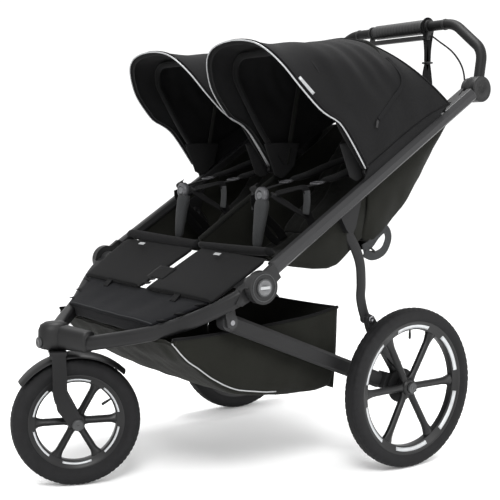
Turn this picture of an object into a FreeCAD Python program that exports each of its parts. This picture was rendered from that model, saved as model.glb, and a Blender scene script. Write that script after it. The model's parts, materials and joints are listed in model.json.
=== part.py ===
"""Side-by-side double jogging stroller, millimetres.

+Z is up, X runs across the stroller with +X its left side, and the stroller faces -Y.
The origin is on the ground, in the middle plane, under the rear axle.
"""
import FreeCAD
import Part
import Sketcher
import math
import os

os.makedirs("parts", exist_ok=True)
V = FreeCAD.Vector
UP = V(0, 0, 1)
ACROSS = V(1, 0, 0)
doc = FreeCAD.newDocument("jogging_stroller")

# ---------------------------------------------------------------- driving dimensions
DIMENSIONS = (
    ("rear_wheel_radius", 203), ("rear_tyre_width", 47), ("rear_track_half", 374),
    ("front_wheel_radius", 154), ("front_tyre_width", 52), ("front_trail", 43),
    ("caster_angle", -21), ("steer_axis_y", -791), ("crown_top", 364), ("crown_bottom", 330),
    ("rim_width", 31), ("rim_depth", 12), ("spoke_count", 6), ("spoke_width", 16), ("spoke_phase", 30),
    ("main_tube_inner", 341.5), ("main_tube_width", 26.5), ("main_tube_tall", 31),
    ("main_tube_slope", 32.7), ("main_tube_rise", 801),
    ("fold_pivot_y", -462), ("fold_pivot_z", 492), ("fold_disc_radius", 38),
    ("fold_eye_radius", 23), ("fold_plate", 12), ("fold_arm_reach", 42),
    ("front_tube_wide", 30), ("front_tube_tall", 36), ("pin_radius", 6),
    ("running_gap", 0.05), ("side_gap", 0.5),
    ("lower_pivot_y", -515), ("lower_pivot_z", 411),
    ("lower_tube_wide", 24), ("lower_tube_tall", 40), ("lower_tube_inset", 295),
    ("axle_radius", 11), ("axle_end", 340), ("spindle_radius", 6),
    ("strut_top_y", -184), ("strut_top_z", 615), ("knuckle_y", -106), ("knuckle_z", 383),
    ("strut_wide", 14), ("strut_tall", 22), ("strut_inset", 317),
    ("handle_pivot_y", 263), ("handle_pivot_z", 961), ("handle_hub_radius", 33),
    ("handle_lean", 75), ("handle_reach", 194), ("handle_tube_radius", 14), ("handle_disc_half", 17),
    ("handle_half_width", 342), ("handle_flat_half", 209), ("handle_knee", 108), ("handle_bend_trim", 30),
    ("twist_grip_half", 98), ("twist_grip_radius", 20),
    ("crossbar_y", 152), ("crossbar_z", 893), ("crossbar_radius", 11),
    ("canopy_half_width", 189), ("canopy_wall", 6), ("seat_middle", 192),
    ("canopy_pivot_y", -135), ("canopy_pivot_z", 749), ("bow_radius", 4.5), ("bow_inset", 28),
    ("bow_reach", 333), ("bow_corner", 100), ("bow_lean", 29),
    ("bow_eye_radius", 9), ("bow_eye_half", 4), ("bow_pin_radius", 4),
    ("seat_gap", 9), ("seat_outer", 306), ("seat_thick", 24),
    ("recline_y", -136), ("recline_z", 568), ("recline_hem_radius", 19),
    ("buckle_x", 180), ("buckle_y", -330), ("buckle_z", 664), ("buckle_wide", 44), ("buckle_tall", 46),
    ("buckle_thick", 16), ("button_radius", 10),
    ("basket_half_width", 284), ("basket_wall", 6), ("brake_drum_radius", 44),
)
sheet = doc.addObject("Spreadsheet::Sheet", "dims")
for row, (alias, value) in enumerate(DIMENSIONS, 1):
    sheet.set("A%d" % row, alias)
    sheet.set("B%d" % row, str(value))
    sheet.setAlias("B%d" % row, alias)
doc.recompute()


class Size:
    """A length that knows both its value and the sheet expression it comes from."""

    def __init__(self, value, text):
        self.value = value
        self.text = text

    def __add__(self, other):
        other = size(other)
        return Size(self.value + other.value, "(%s + %s)" % (self.text, other.text))

    def __sub__(self, other):
        other = size(other)
        return Size(self.value - other.value, "(%s - %s)" % (self.text, other.text))

    def __mul__(self, other):
        other = size(other)
        return Size(self.value * other.value, "(%s * %s)" % (self.text, other.text))

    def __neg__(self):
        return Size(-self.value, "(0 - %s)" % self.text)

    __radd__ = __add__
    __rmul__ = __mul__

    def __rsub__(self, other):
        return size(other) - self

    def __float__(self):
        return float(self.value)


def size(value):
    return value if isinstance(value, Size) else Size(float(value), repr(float(value)))


def dim(alias):
    """A driving dimension, as a Size."""
    return Size(float(sheet.get(alias)), "dims." + alias)


SIDES = (("left", 1), ("right", -1))
parts = []


def keep(obj, label):
    """Name a finished sub-part and list it for writing."""
    obj.Label = label
    parts.append(obj)
    return obj


def vector(x, y, z):
    return V(float(x), float(y), float(z))


def placed(obj, position, rotation=None):
    obj.Placement = FreeCAD.Placement(position, rotation or FreeCAD.Rotation())
    return obj


def bind(obj, **sizes):
    for prop, value in sizes.items():
        obj.setExpression(prop, size(value).text)
    return obj


# ---------------------------------------------------------------- primitives and booleans
def cylinder(radius, height, start, direction=ACROSS):
    obj = bind(doc.addObject("Part::Cylinder", "cylinder"), Radius=radius, Height=height)
    return placed(obj, start, FreeCAD.Rotation(UP, direction))


def rod_x(radius, low, high, y, z):
    """A cylinder along X from low to high."""
    return cylinder(radius, size(high) - low, vector(low, y, z))


def ring_x(radius, bore, low, high, y, z):
    return cut(rod_x(radius, low, high, y, z), rod_x(bore, size(low) - 1, size(high) + 1, y, z))


def box(length, width, height, corner, rotation=None):
    obj = bind(doc.addObject("Part::Box", "box"), Length=length, Width=width, Height=height)
    return placed(obj, corner, rotation)


def cut(base, *tools):
    for tool in tools:
        obj = doc.addObject("Part::Cut", "cut")
        obj.Base, obj.Tool = base, tool
        base = obj
    return base


def fuse(*shapes):
    obj = doc.addObject("Part::MultiFuse", "fuse")
    obj.Shapes = list(shapes)
    return obj


def group(*shapes):
    obj = doc.addObject("Part::Compound", "group")
    obj.Links = list(shapes)
    return obj


def featured(shape):
    """A shape that only Part's own functions can make."""
    obj = doc.addObject("Part::Feature", "feature")
    obj.Shape = shape
    return obj


# ---------------------------------------------------------------- sketched bodies
def outline(body, role, points):
    """A closed outline whose corners, (across, up) from the origin, are bound to the sheet."""
    sketch = body.newObject("Sketcher::SketchObject", "outline")
    plane = [f for f in body.Origin.OriginFeatures if f.Role == role][0]
    sketch.AttachmentSupport = [(plane, "")]
    sketch.MapMode = "FlatFace"
    corners = [vector(a, b, 0) for a, b in points]
    count = len(corners)
    for i in range(count):
        sketch.addGeometry(Part.LineSegment(corners[i], corners[(i + 1) % count]), False)
    for i in range(count):
        sketch.addConstraint(Sketcher.Constraint("Coincident", i, 2, (i + 1) % count, 1))
    for i in range(count):
        for kind, value in zip(("DistanceX", "DistanceY"), points[i]):
            limit = Sketcher.Constraint(kind, -1, 1, i, 1, float(size(value)))
            sketch.setExpression("Constraints[%d]" % sketch.addConstraint(limit), size(value).text)
    return sketch


def pad(role, points, length, position=None, rotation=None):
    """A body padded from one outline: YZ outlines grow along +X, XY outlines along +Z."""
    body = doc.addObject("PartDesign::Body", "body")
    sketch = outline(body, role, points)
    feature = body.newObject("PartDesign::Pad", "pad")
    feature.Profile = sketch
    bind(feature, Length=length)
    return placed(body, position or V(), rotation)


def side_plate(points, low, high):
    """A plate with a YZ outline between two X positions."""
    return pad("YZ_Plane", points, size(high) - low, vector(low, 0, 0))


def turned_body(points, position, rotation=None):
    """A body turned about X from an outline of (along X, radius) corners."""
    body = doc.addObject("PartDesign::Body", "body")
    sketch = outline(body, "XY_Plane", points)
    feature = body.newObject("PartDesign::Revolution", "revolution")
    feature.Profile = sketch
    feature.ReferenceAxis = (sketch, ["H_Axis"])
    feature.Angle = 360
    return placed(body, position, rotation)


def smooth(points):
    curve = Part.BSplineCurve()
    curve.interpolate([vector(*p) for p in points])
    return curve.toShape()


def sweep(edges, profile):
    """A solid swept from a closed profile along edges, held upright."""
    shell = Part.BRepOffsetAPI.MakePipeShell(Part.Wire(edges))
    shell.setBiNormalMode(UP)
    shell.add(profile)
    shell.build()
    shell.makeSolid()
    return shell.shape()


def round_sweep(edges, radius, start, direction):
    circle = Part.Wire(Part.Circle(start, direction, float(radius)).toShape())
    shell = Part.BRepOffsetAPI.MakePipeShell(Part.Wire(edges))
    shell.add(circle)
    shell.setTransitionMode(2)
    shell.build()
    shell.makeSolid()
    return shell.shape()


def bent(corners, trim):
    """Straight runs between corners, joined by tangent arcs that start trim before each corner."""
    edges = []
    last = corners[0]
    for i in range(1, len(corners) - 1):
        before = (corners[i - 1] - corners[i]).normalize()
        after = (corners[i + 1] - corners[i]).normalize()
        half_turn = (math.pi - before.getAngle(after)) / 2
        radius = trim / math.tan(half_turn)
        inward = (before + after).normalize()
        middle = corners[i] + inward * (radius / math.cos(half_turn) - radius)
        first, second = corners[i] + before * trim, corners[i] + after * trim
        edges.append(Part.makeLine(last, first))
        edges.append(Part.Arc(first, middle, second).toShape())
        last = second
    edges.append(Part.makeLine(last, corners[-1]))
    return edges


def rounded(wide, tall, corner, centre, across, upward):
    """A rounded rectangle wire in the plane of two directions."""
    a, b = float(wide) / 2, float(tall) / 2
    r = float(corner)
    across, upward = V(across).normalize(), V(upward).normalize()
    turn = r * (1 - math.sqrt(0.5))

    def at(x, y):
        return centre + across * x + upward * y

    edges = []
    for sx, sy in ((1, 1), (-1, 1), (-1, -1), (1, -1)):
        ends = [at(sx * a, sy * (b - r)), at(sx * (a - r), sy * b)]
        middle = at(sx * (a - turn), sy * (b - turn))
        if sx * sy < 0:
            ends.reverse()
        if edges:
            edges.append(Part.makeLine(edges[-1].Vertexes[-1].Point, ends[0]))
        edges.append(Part.Arc(ends[0], middle, ends[1]).toShape())
    edges.append(Part.makeLine(at(a, -(b - r)), at(a, b - r)))
    return Part.Wire(Part.__sortEdges__(edges))


# ---------------------------------------------------------------- frequently used places
slope = math.radians(float(dim("main_tube_slope")))
ALONG = V(0, math.cos(slope), math.sin(slope))
FOLD_Y, FOLD_Z = dim("fold_pivot_y"), dim("fold_pivot_z")
LOWER_Y, LOWER_Z = dim("lower_pivot_y"), dim("lower_pivot_z")
TOP_Y, TOP_Z = dim("strut_top_y"), dim("strut_top_z")
KNEE_Y, KNEE_Z = dim("knuckle_y"), dim("knuckle_z")
HANDLE_Y, HANDLE_Z = dim("handle_pivot_y"), dim("handle_pivot_z")
PIN = dim("pin_radius")
BORE = PIN + dim("running_gap")
GAP = dim("side_gap")
TUBE_IN = dim("main_tube_inner")
TUBE_OUT = TUBE_IN + dim("main_tube_width")


def tube_z(y):
    """Height of the main tube's middle line at a place along Y."""
    return float(dim("main_tube_rise")) + math.tan(slope) * float(y)


def on_tube(y, offset):
    """A YZ place beside the main tube's middle line, offset square to the tube."""
    return y - math.sin(slope) * offset, tube_z(y) + math.cos(slope) * offset


def span(sign, low, high):
    """A stretch of X on one side of the stroller, low end first."""
    return (size(low), size(high)) if sign > 0 else (-size(high), -size(low))


# ---------------------------------------------------------------- seat frame
def main_tube(side, sign):
    """Sloping side tube with a bevel along the upper third of its outer face."""
    wide, tall = dim("main_tube_width"), dim("main_tube_tall")
    bevel = wide * 0.3
    section = [
        (0, tall * -0.5 + 4), (4, tall * -0.5), (wide - 6, tall * -0.5), (wide, tall * -0.5 + 6),
        (wide, tall * 0.12), (wide - bevel, tall * 0.5 - 1), (wide - bevel - 2, tall * 0.5),
        (4, tall * 0.5), (0, tall * 0.5 - 4),
    ]
    if sign < 0:
        section = [(-x, z) for x, z in reversed(section)]
    top_y = float(HANDLE_Y) - 35
    length = (top_y - float(FOLD_Y) - float(dim("fold_arm_reach")) - 0.3) / math.cos(slope)
    place = V(sign * float(TUBE_IN), top_y, tube_z(top_y))
    turn = FreeCAD.Rotation(ACROSS, V(0, -math.sin(slope), math.cos(slope)), ALONG * -1, "XYZ")
    return keep(pad("XY_Plane", section, length, place, turn), "main_tube_" + side)


def fold_housing(side, sign):
    """Outer pivot plate: a disc on the pivot with a lug that runs up under the main tube."""
    low, high = span(sign, TUBE_OUT - dim("fold_plate"), TUBE_OUT + 9)
    disc = rod_x(dim("fold_disc_radius"), low, high, FOLD_Y, FOLD_Z)
    inner, outer = span(sign, TUBE_OUT - dim("fold_plate"), TUBE_OUT)
    y0, y1 = float(FOLD_Y) - 34, float(FOLD_Y + dim("fold_arm_reach"))
    arm = side_plate(
        [on_tube(y0, -20), on_tube(y0, 12), on_tube(y1, 15.5), on_tube(y1, -24),
         (FOLD_Y + 36, FOLD_Z + 4), (FOLD_Y, FOLD_Z - 10)],
        inner, outer)
    return keep(fuse(disc, arm), "fold_housing_" + side)


def fold_caps():
    """Shallow round cap in the face of each pivot disc."""
    caps = []
    for _, sign in SIDES:
        low, high = span(sign, TUBE_OUT + 9, TUBE_OUT + 12)
        caps.append(rod_x(dim("fold_disc_radius") * 0.54, low, high, FOLD_Y, FOLD_Z))
    return keep(group(*caps), "fold_caps")


def seat_frame_pins():
    """The fold pins and the strut's top pins, fixed in the seat frame."""
    pins = []
    for _, sign in SIDES:
        low, high = span(sign, 322, TUBE_OUT - dim("fold_plate"))
        pins.append(rod_x(PIN, low, high, FOLD_Y, FOLD_Z))
        low, high = span(sign, dim("strut_inset") - 1.5, dim("strut_inset") + dim("strut_wide") + GAP)
        pins.append(rod_x(PIN, low, high, TOP_Y, TOP_Z))
    return keep(group(*pins), "seat_frame_pins")


def strut_brackets():
    """Lug under each main tube that carries the strut's top pin."""
    lugs = []
    for _, sign in SIDES:
        low, high = span(sign, dim("strut_inset") + dim("strut_wide") + GAP, TUBE_IN + 12)
        y0, y1 = float(TOP_Y) - 34, float(TOP_Y) + 34
        drop = -float(dim("main_tube_tall")) / 2 / math.cos(slope) - 0.4
        lugs.append(side_plate(
            [(y0, tube_z(y0) + drop), (TOP_Y - 15, TOP_Z - 4), (TOP_Y - 6, TOP_Z - 14),
             (TOP_Y + 8, TOP_Z - 13), (TOP_Y + 16, TOP_Z), (y1, tube_z(y1) + drop)], low, high))
    return keep(group(*lugs), "strut_brackets")


def handle_hub(side, sign):
    """Fixed plate on the inner side of the handlebar's disc, with a lug against the main tube."""
    face = dim("handle_half_width") - dim("handle_disc_half") - GAP
    low, high = span(sign, face - 12, face)
    disc = rod_x(dim("handle_hub_radius") - 2, low, high, HANDLE_Y, HANDLE_Z)
    foot_y, neck_y, half = float(HANDLE_Y) - 84, float(HANDLE_Y) - 37, 11

    def strip(end_y, inner, outer):
        return side_plate([on_tube(foot_y, -half), on_tube(end_y, -half), on_tube(end_y, half),
                           on_tube(foot_y, half)], inner, outer)

    lug = strip(neck_y, *span(sign, face - 12, TUBE_IN))
    return keep(fuse(disc, strip(float(HANDLE_Y) - 8, low, high), lug), "handle_hub_" + side)


def crossbar():
    """Cross tube between the main tubes, behind the seat backs."""
    tube = rod_x(dim("crossbar_radius"), -TUBE_IN, TUBE_IN, dim("crossbar_y"), dim("crossbar_z"))
    return keep(tube, "seat_crossbar")


# ---------------------------------------------------------------- soft seat parts
def seat_span(sign):
    return span(sign, dim("seat_gap"), dim("seat_outer"))


def seat_base(side, sign):
    """Slung seat pan, from the crease behind the knees to the foot of the back."""
    low, high = seat_span(sign)
    thick = dim("seat_thick")
    under = [(-392, 538), (-362, 531), (-326, 527), (-265, 520), (-217, 518), (-186, 524)]
    over = [(y, z + thick) for y, z in reversed(under)]
    return keep(side_plate(under + over, low, high), "seat_base_" + side)


def seat_back(side, sign):
    """Back rest, hinged at its foot."""
    low, high = span(sign, dim("seat_gap") + 4, dim("seat_outer") + 2)
    rear = [(-122, 560), (-75, 610), (-19, 653), (41, 744), (112, 837), (126, 868)]
    front = [(118, 885), (84, 852), (16, 762), (-44, 672), (-100, 630), (-148, 578)]
    hem = rod_x(dim("recline_hem_radius"), low, high, dim("recline_y"), dim("recline_z"))
    return keep(fuse(side_plate(rear + front, low, high), hem), "seat_back_" + side)


def seat_sides():
    """Outer side panels under the main tubes, and the divider between the seats."""
    def panel(low, high, top):
        return side_plate(
            [(-384, 572), (-330, 560), (-200, 556), (-160, 570), (-70, tube_z(-70) + top),
             (-384, tube_z(-384) + top)], low, high)

    outer = [panel(*span(sign, dim("seat_outer") + 3, dim("seat_outer") + 9), -4) for _, sign in SIDES]
    middle = panel(size(-3), size(3), 16)
    return keep(group(*outer, middle), "seat_sides")


def calf_pad(side, sign):
    """Padded flap from the seat's front edge down to the foot tray."""
    low, high = span(sign, 13, 304)
    return keep(side_plate([(-409, 548), (-548, 460), (-554, 471), (-416, 560)], low, high),
                "calf_pad_" + side)


def buckle(side, sign):
    """Harness buckle on the crotch strap, with a hole for its button."""
    middle, wide = dim("buckle_x") * sign, dim("buckle_wide")
    front, foot, thick = dim("buckle_y"), dim("buckle_z"), dim("buckle_thick")
    button, centre = dim("button_radius"), dim("buckle_z") + dim("buckle_tall") * 0.52
    hole = button + 0.3
    body = box(wide, thick, dim("buckle_tall"), vector(middle - wide * 0.5, front, foot))
    bore = cylinder(hole, thick + 2, vector(middle, front - 1, centre), V(0, 1, 0))
    back = cylinder(hole, thick - 10, vector(middle, front + 10, centre), V(0, 1, 0))
    keep(fuse(cut(body, bore), back), "harness_buckle_" + side)
    keep(cylinder(button, 8, vector(middle, front - 3, centre), V(0, 1, 0)), "buckle_button_" + side)


# ---------------------------------------------------------------- canopies
def arch(middle, half_width, station, shrink):
    """An arch from one lower edge over to the other, closed along the bottom.

    A station is the (y, z) of the lower edges, the (y, z) of the crown and how round the arch
    is: 1 makes half an ellipse and smaller values make squarer shoulders.
    """
    base, crown, power = station
    half = half_width - shrink
    points = []
    steps = 12
    for i in range(steps + 1):
        a = math.pi * i / steps
        across = math.copysign(abs(math.cos(a)) ** power, math.cos(a))
        up = abs(math.sin(a)) ** power if 0 < i < steps else 0.0
        y = base[0] + (crown[0] - base[0]) * up
        z = base[1] + (crown[1] - shrink - base[1]) * up
        points.append(V(middle + half * across, y, z))
    curve = Part.BSplineCurve()
    curve.interpolate(points)
    return Part.Wire([curve.toShape(), Part.makeLine(points[-1], points[0])])


def canopy(side, sign):
    """Hood shell, open at the front and underneath."""
    middle = sign * float(dim("seat_middle"))
    half = float(dim("canopy_half_width"))
    wall = float(dim("canopy_wall"))
    stations = (
        ((-163, 757), (-414, 1050), 0.52),
        ((-108, 795), (-330, 1063), 0.53),
        ((-60, 826), (-275, 1072), 0.54),
        ((-10, 857), (-220, 1079), 0.58),
        ((40, 885), (-172, 1085), 0.68),
        ((80, 903), (-132, 1089), 0.80),
        ((116, 916), (-95, 1089), 0.95),
    )
    outer = Part.makeLoft([arch(middle, half, station, 0.0) for station in stations], True)

    def moved(station, base_y, base_z, crown_y, crown_z):
        base, crown, power = station
        return ((base[0] + base_y, base[1] + base_z), (crown[0] + crown_y, crown[1] + crown_z), power)

    below = [moved(station, 0, -2 * wall, 0, 0) for station in stations[:-1]]
    before = moved(below[0], -30, -12, -50, -4)
    after = moved(stations[-1], -8, -8 - 2 * wall, -8, -8)
    inner = Part.makeLoft([arch(middle, half, s, wall) for s in [before] + below + [after]], True)
    return keep(featured(outer.cut(inner)), "canopy_" + side)


def canopy_bow(side, sign):
    """Front bow of the hood: a square-shouldered hoop that turns on its two feet."""
    middle = sign * float(dim("seat_middle"))
    half = float(dim("canopy_half_width") - dim("bow_inset"))
    foot_y, foot_z = float(dim("canopy_pivot_y")), float(dim("canopy_pivot_z"))
    reach, corner, radius = float(dim("bow_reach")), float(dim("bow_corner")), float(dim("bow_radius"))
    lean = math.radians(float(dim("bow_lean")))
    out = V(0, -math.sin(lean), math.cos(lean))
    origin = V(middle, foot_y, foot_z)

    def at(x, r):
        return origin + ACROSS * x + out * r

    bend = corner * (1 - math.sqrt(0.5))
    edges = [
        Part.makeLine(at(-half, 0), at(-half, reach - corner)),
        Part.Arc(at(-half, reach - corner), at(-half + bend, reach - bend),
                 at(-half + corner, reach)).toShape(),
        Part.makeLine(at(-half + corner, reach), at(half - corner, reach)),
        Part.Arc(at(half - corner, reach), at(half - bend, reach - bend),
                 at(half, reach - corner)).toShape(),
        Part.makeLine(at(half, reach - corner), at(half, 0)),
    ]
    hoop = featured(round_sweep(edges, radius, at(-half, 0), out))
    eyes = []
    for turn in (-1, 1):
        x, eye_half = middle + turn * half, dim("bow_eye_half")
        eyes.append(rod_x(dim("bow_eye_radius"), x - eye_half, x + eye_half, foot_y, foot_z))
    bores = [rod_x(dim("bow_pin_radius") + dim("running_gap"), x - 8, x + 8, foot_y, foot_z)
             for x in (middle - half, middle + half)]
    return keep(cut(fuse(hoop, *eyes), *bores), "canopy_bow_" + side)


def canopy_mounts():
    """Short pivot pins that the bows turn on."""
    half = dim("canopy_half_width") - dim("bow_inset")
    pin_half = dim("bow_eye_half") + GAP
    pins = []
    for _, sign in SIDES:
        for turn in (-1, 1):
            x = dim("seat_middle") * sign + half * turn
            pins.append(rod_x(dim("bow_pin_radius"), x - pin_half, x + pin_half,
                              dim("canopy_pivot_y"), dim("canopy_pivot_z")))
    return keep(group(*pins), "canopy_pivots")


# ---------------------------------------------------------------- front frame
def front_tube(side, sign):
    """Bent side tube from the fold pivot inwards to the crown, with its two pivot lugs."""
    path = smooth([(sign * x, y, z) for x, y, z in (
        (340, -499, 471), (320, -531, 450), (294, -561, 430), (233, -621, 395),
        (150, -703, 367), (84, -751, 351))])
    start = path.valueAt(path.FirstParameter)
    heading = path.tangentAt(path.FirstParameter)
    across = heading.cross(UP)
    section = rounded(dim("front_tube_wide"), dim("front_tube_tall"), 11, start, across,
                      across.cross(heading))
    tube = featured(sweep([path], section))
    low, high = span(sign, 326, 355)
    eye = rod_x(dim("fold_eye_radius"), low, high, FOLD_Y, FOLD_Z)
    neck_low, neck_high = span(sign, 328, 353)
    neck = side_plate([(FOLD_Y, FOLD_Z + 20), (-505, 488), (-522, 456), (-506, 450), (FOLD_Y, FOLD_Z - 21)],
                      neck_low, neck_high)
    inset = dim("lower_tube_inset") + dim("lower_tube_wide") + GAP + 1.5
    lug_low, lug_high = span(sign, inset, inset + 8)
    lug = side_plate([(LOWER_Y + 13, LOWER_Z - 10), (LOWER_Y + 4, LOWER_Z + 46),
                      (LOWER_Y - 22, LOWER_Z + 36), (LOWER_Y - 13, LOWER_Z - 10)], lug_low, lug_high)
    knob = rod_x(14, lug_low, lug_high, LOWER_Y, LOWER_Z)
    body = fuse(tube, neck, lug, knob)
    fold_bore = rod_x(BORE, low - 2, high + 2, FOLD_Y, FOLD_Z)
    lug_bore = rod_x(BORE, lug_low - 2, lug_high + 2, LOWER_Y, LOWER_Z)
    return keep(cut(fuse(body, eye), fold_bore, lug_bore), "front_tube_" + side)


def front_crown():
    """Crown casting: a bored head with a sleeve over each front tube."""
    y = dim("steer_axis_y")
    head = cylinder(27, dim("crown_top") - dim("crown_bottom"), vector(0, y, dim("crown_bottom")), UP)
    shapes = [head]
    for _, sign in SIDES:
        direction = V(sign * 84, 40, 0)
        wide = dim("front_tube_wide") + 4
        corner = vector(0, y, dim("crown_bottom")) - direction.cross(UP).normalize() * (float(wide) / 2)
        shapes.append(box(wide, 84, dim("crown_top") - dim("crown_bottom"), corner,
                          FreeCAD.Rotation(V(0, 1, 0), direction)))
    bore = cylinder(10 + dim("running_gap"), 60, vector(0, y, dim("crown_bottom") - 10), UP)
    socket = cylinder(9.3, 20, vector(0, y - 38, 350), V(0, 1, 0))
    nose = cylinder(15, 22, vector(0, y - 31, 350), V(0, 1, 0))
    return keep(cut(fuse(*shapes, nose), bore, socket), "front_crown")


def swivel_knob():
    """Round knob on the crown's nose that turns to lock the swivel."""
    y = dim("steer_axis_y")
    shaft = cylinder(9.25, 12, vector(0, y - 36, 350), V(0, 1, 0))
    face = cylinder(16, 11, vector(0, y - 42.5, 350), V(0, 1, 0))
    wing = box(34, 7, 8, vector(-17, y - 45, 346))
    return keep(fuse(shaft, face, wing), "swivel_lock_knob")


def foot_tray():
    """Foot rest panel slung between the front tubes."""
    half_back, half_front, length = 270, 165, 122
    place = V(0, -548, 452)
    turn = FreeCAD.Rotation(ACROSS, 22.5)
    points = [(-half_back, 0), (-half_front, -length), (half_front, -length), (half_back, 0)]
    return keep(pad("XY_Plane", points, 6, place, turn), "foot_tray")


# ---------------------------------------------------------------- swivelling front wheel
def swivelled(obj):
    """Turn an object built straight ahead to the resting swivel angle."""
    y = dim("steer_axis_y")
    turn = FreeCAD.Placement(V(), FreeCAD.Rotation(UP, float(dim("caster_angle"))), vector(0, y, 0))
    obj.Placement = turn * obj.Placement
    return obj


WHEEL_Y = dim("steer_axis_y") + dim("front_trail")
WHEEL_Z = dim("front_wheel_radius")


def fork():
    """Fork: a bridge over the wheel and a leg down each side to the axle."""
    y = float(dim("steer_axis_y"))
    wheel_y, wheel_z = float(WHEEL_Y), float(WHEEL_Z)
    bridge = box(92, 40, 8, V(-46, y - 20, 321.5))
    shapes = [bridge]
    for _, sign in SIDES:
        low, high = span(sign, 35, 46)
        shapes.append(side_plate(
            [(y - 15, 329.5), (y - 14, 240), (y - 4, 190), (wheel_y - 14, wheel_z - 8),
             (wheel_y + 2, wheel_z - 15), (wheel_y + 14, wheel_z), (wheel_y + 8, wheel_z + 16),
             (y + 20, 232), (y + 17, 329.5)], low, high))
    bore = rod_x(dim("spindle_radius"), -60, 60, wheel_y, wheel_z)
    return keep(swivelled(cut(fuse(*shapes), bore)), "caster_fork")


def steerer():
    """Steering stem that turns in the crown."""
    y = dim("steer_axis_y")
    return keep(cylinder(10, dim("crown_top") - 329.5 + 4, vector(0, y, 329.5), UP), "steering_stem")


def fender():
    """Mudguard strip that follows the front tyre from low at the front to the rear top."""
    inner = float(dim("front_wheel_radius")) + 4
    body = ring_x(inner + 3, inner, -33, 33, WHEEL_Y, WHEEL_Z)
    reach = 2 * inner
    low_front = side_plate(
        [(WHEEL_Y, WHEEL_Z), (WHEEL_Y - reach, WHEEL_Z - 10), (WHEEL_Y - reach, WHEEL_Z + reach),
         (WHEEL_Y + reach * 0.52, WHEEL_Z + reach)], -34, 34)
    strip = doc.addObject("Part::Common", "strip")
    strip.Base, strip.Tool = body, low_front
    return keep(swivelled(strip), "front_fender")


def front_axle():
    return keep(swivelled(rod_x(dim("spindle_radius"), -48, 48, WHEEL_Y, WHEEL_Z)), "front_axle")


# ---------------------------------------------------------------- wheels
def tyre(radius, width, position, label, rotation=None):
    """Pneumatic tyre: a rounded section on the rim's bead seats."""
    w, r = width, radius
    seat = r - w * 0.78
    section = [
        (w * -0.30, seat), (w * -0.44, r - w * 0.62), (w * -0.5, r - w * 0.42),
        (w * -0.46, r - w * 0.20), (w * -0.32, r - w * 0.06), (w * -0.12, r),
        (w * 0.12, r), (w * 0.32, r - w * 0.06), (w * 0.46, r - w * 0.20),
        (w * 0.5, r - w * 0.42), (w * 0.44, r - w * 0.62), (w * 0.30, seat),
    ]
    return keep(turned_body(section, position, rotation), label)


def rim(radius, width, bore, position, label, rotation=None, skew=0.0):
    """Moulded wheel: rim channel, spokes and hub in one piece."""
    seat = radius - width * 0.78 - 0.1
    half = dim("rim_width") * 0.5
    depth = dim("rim_depth")
    body = doc.addObject("PartDesign::Body", "body")
    channel = outline(body, "XY_Plane", [
        (-half, seat), (half, seat), (half, seat - depth), (half - 8, seat - depth - 6),
        (8 - half, seat - depth - 6), (-half, seat - depth)])
    ring = body.newObject("PartDesign::Revolution", "ring")
    ring.Profile, ring.ReferenceAxis, ring.Angle = channel, (channel, ["H_Axis"]), 360
    hub_low, hub_high, hub_radius = (skew - 17, skew + 17, 23)
    hub = outline(body, "XY_Plane", [
        (hub_low, bore), (hub_high, bore), (hub_high, hub_radius - 6), (hub_high - 6, hub_radius),
        (hub_low, hub_radius)])
    middle = body.newObject("PartDesign::Revolution", "middle")
    middle.Profile, middle.ReferenceAxis, middle.Angle = hub, (hub, ["H_Axis"]), 360
    doc.recompute()
    wide = dim("spoke_width") * 0.5
    blade = outline(body, "YZ_Plane", [
        (wide * 0.9, hub_radius - 3), (wide * 0.8, seat * 0.5), (wide * 1.7, seat - depth - 3),
        (wide * -1.7, seat - depth - 3), (wide * -0.8, seat * 0.5), (wide * -0.9, hub_radius - 3)])
    spoke = body.newObject("PartDesign::Pad", "spoke")
    spoke.Profile, spoke.SideType = blade, "Symmetric"
    bind(spoke, Length=dim("spoke_width"))
    spokes = body.newObject("PartDesign::PolarPattern", "spokes")
    spokes.Originals = [spoke]
    spokes.Axis = (channel, ["H_Axis"])
    spokes.Angle = 360
    spokes.setExpression("Occurrences", "dims.spoke_count")
    body.Tip = spokes
    phase = FreeCAD.Rotation(ACROSS, float(dim("spoke_phase")))
    return keep(placed(body, position, (rotation or FreeCAD.Rotation()) * phase), label)


def front_wheel():
    place = vector(0, WHEEL_Y, WHEEL_Z)
    made = [
        tyre(dim("front_wheel_radius"), dim("front_tyre_width"), place, "front_tyre"),
        rim(dim("front_wheel_radius"), dim("front_tyre_width"), 11.1, place, "front_rim"),
    ]
    made.append(keep(ring_x(11, dim("spindle_radius") + dim("running_gap"), -34, 34, WHEEL_Y, WHEEL_Z),
                     "front_hub"))
    for part in made:
        swivelled(part)


def rear_wheel(side, sign):
    place = V(sign * float(dim("rear_track_half")), 0, float(dim("rear_wheel_radius")))
    turn = FreeCAD.Rotation(UP, 0 if sign > 0 else 180)
    tyre(dim("rear_wheel_radius"), dim("rear_tyre_width"), place, "rear_tyre_" + side, turn)
    rim(dim("rear_wheel_radius"), dim("rear_tyre_width"), 13.1, place, "rear_rim_" + side, turn, -4.0)
    low, high = span(sign, 352, 389)
    bore_low, bore_high = span(sign, 351, 385)
    hub = rod_x(13, low, high, 0, dim("rear_wheel_radius"))
    bore = rod_x(dim("spindle_radius") + dim("running_gap"), bore_low, bore_high, 0,
                 dim("rear_wheel_radius"))
    return keep(cut(hub, bore), "rear_hub_" + side)


# ---------------------------------------------------------------- rear frame
AXLE_Z = dim("rear_wheel_radius")


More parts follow.
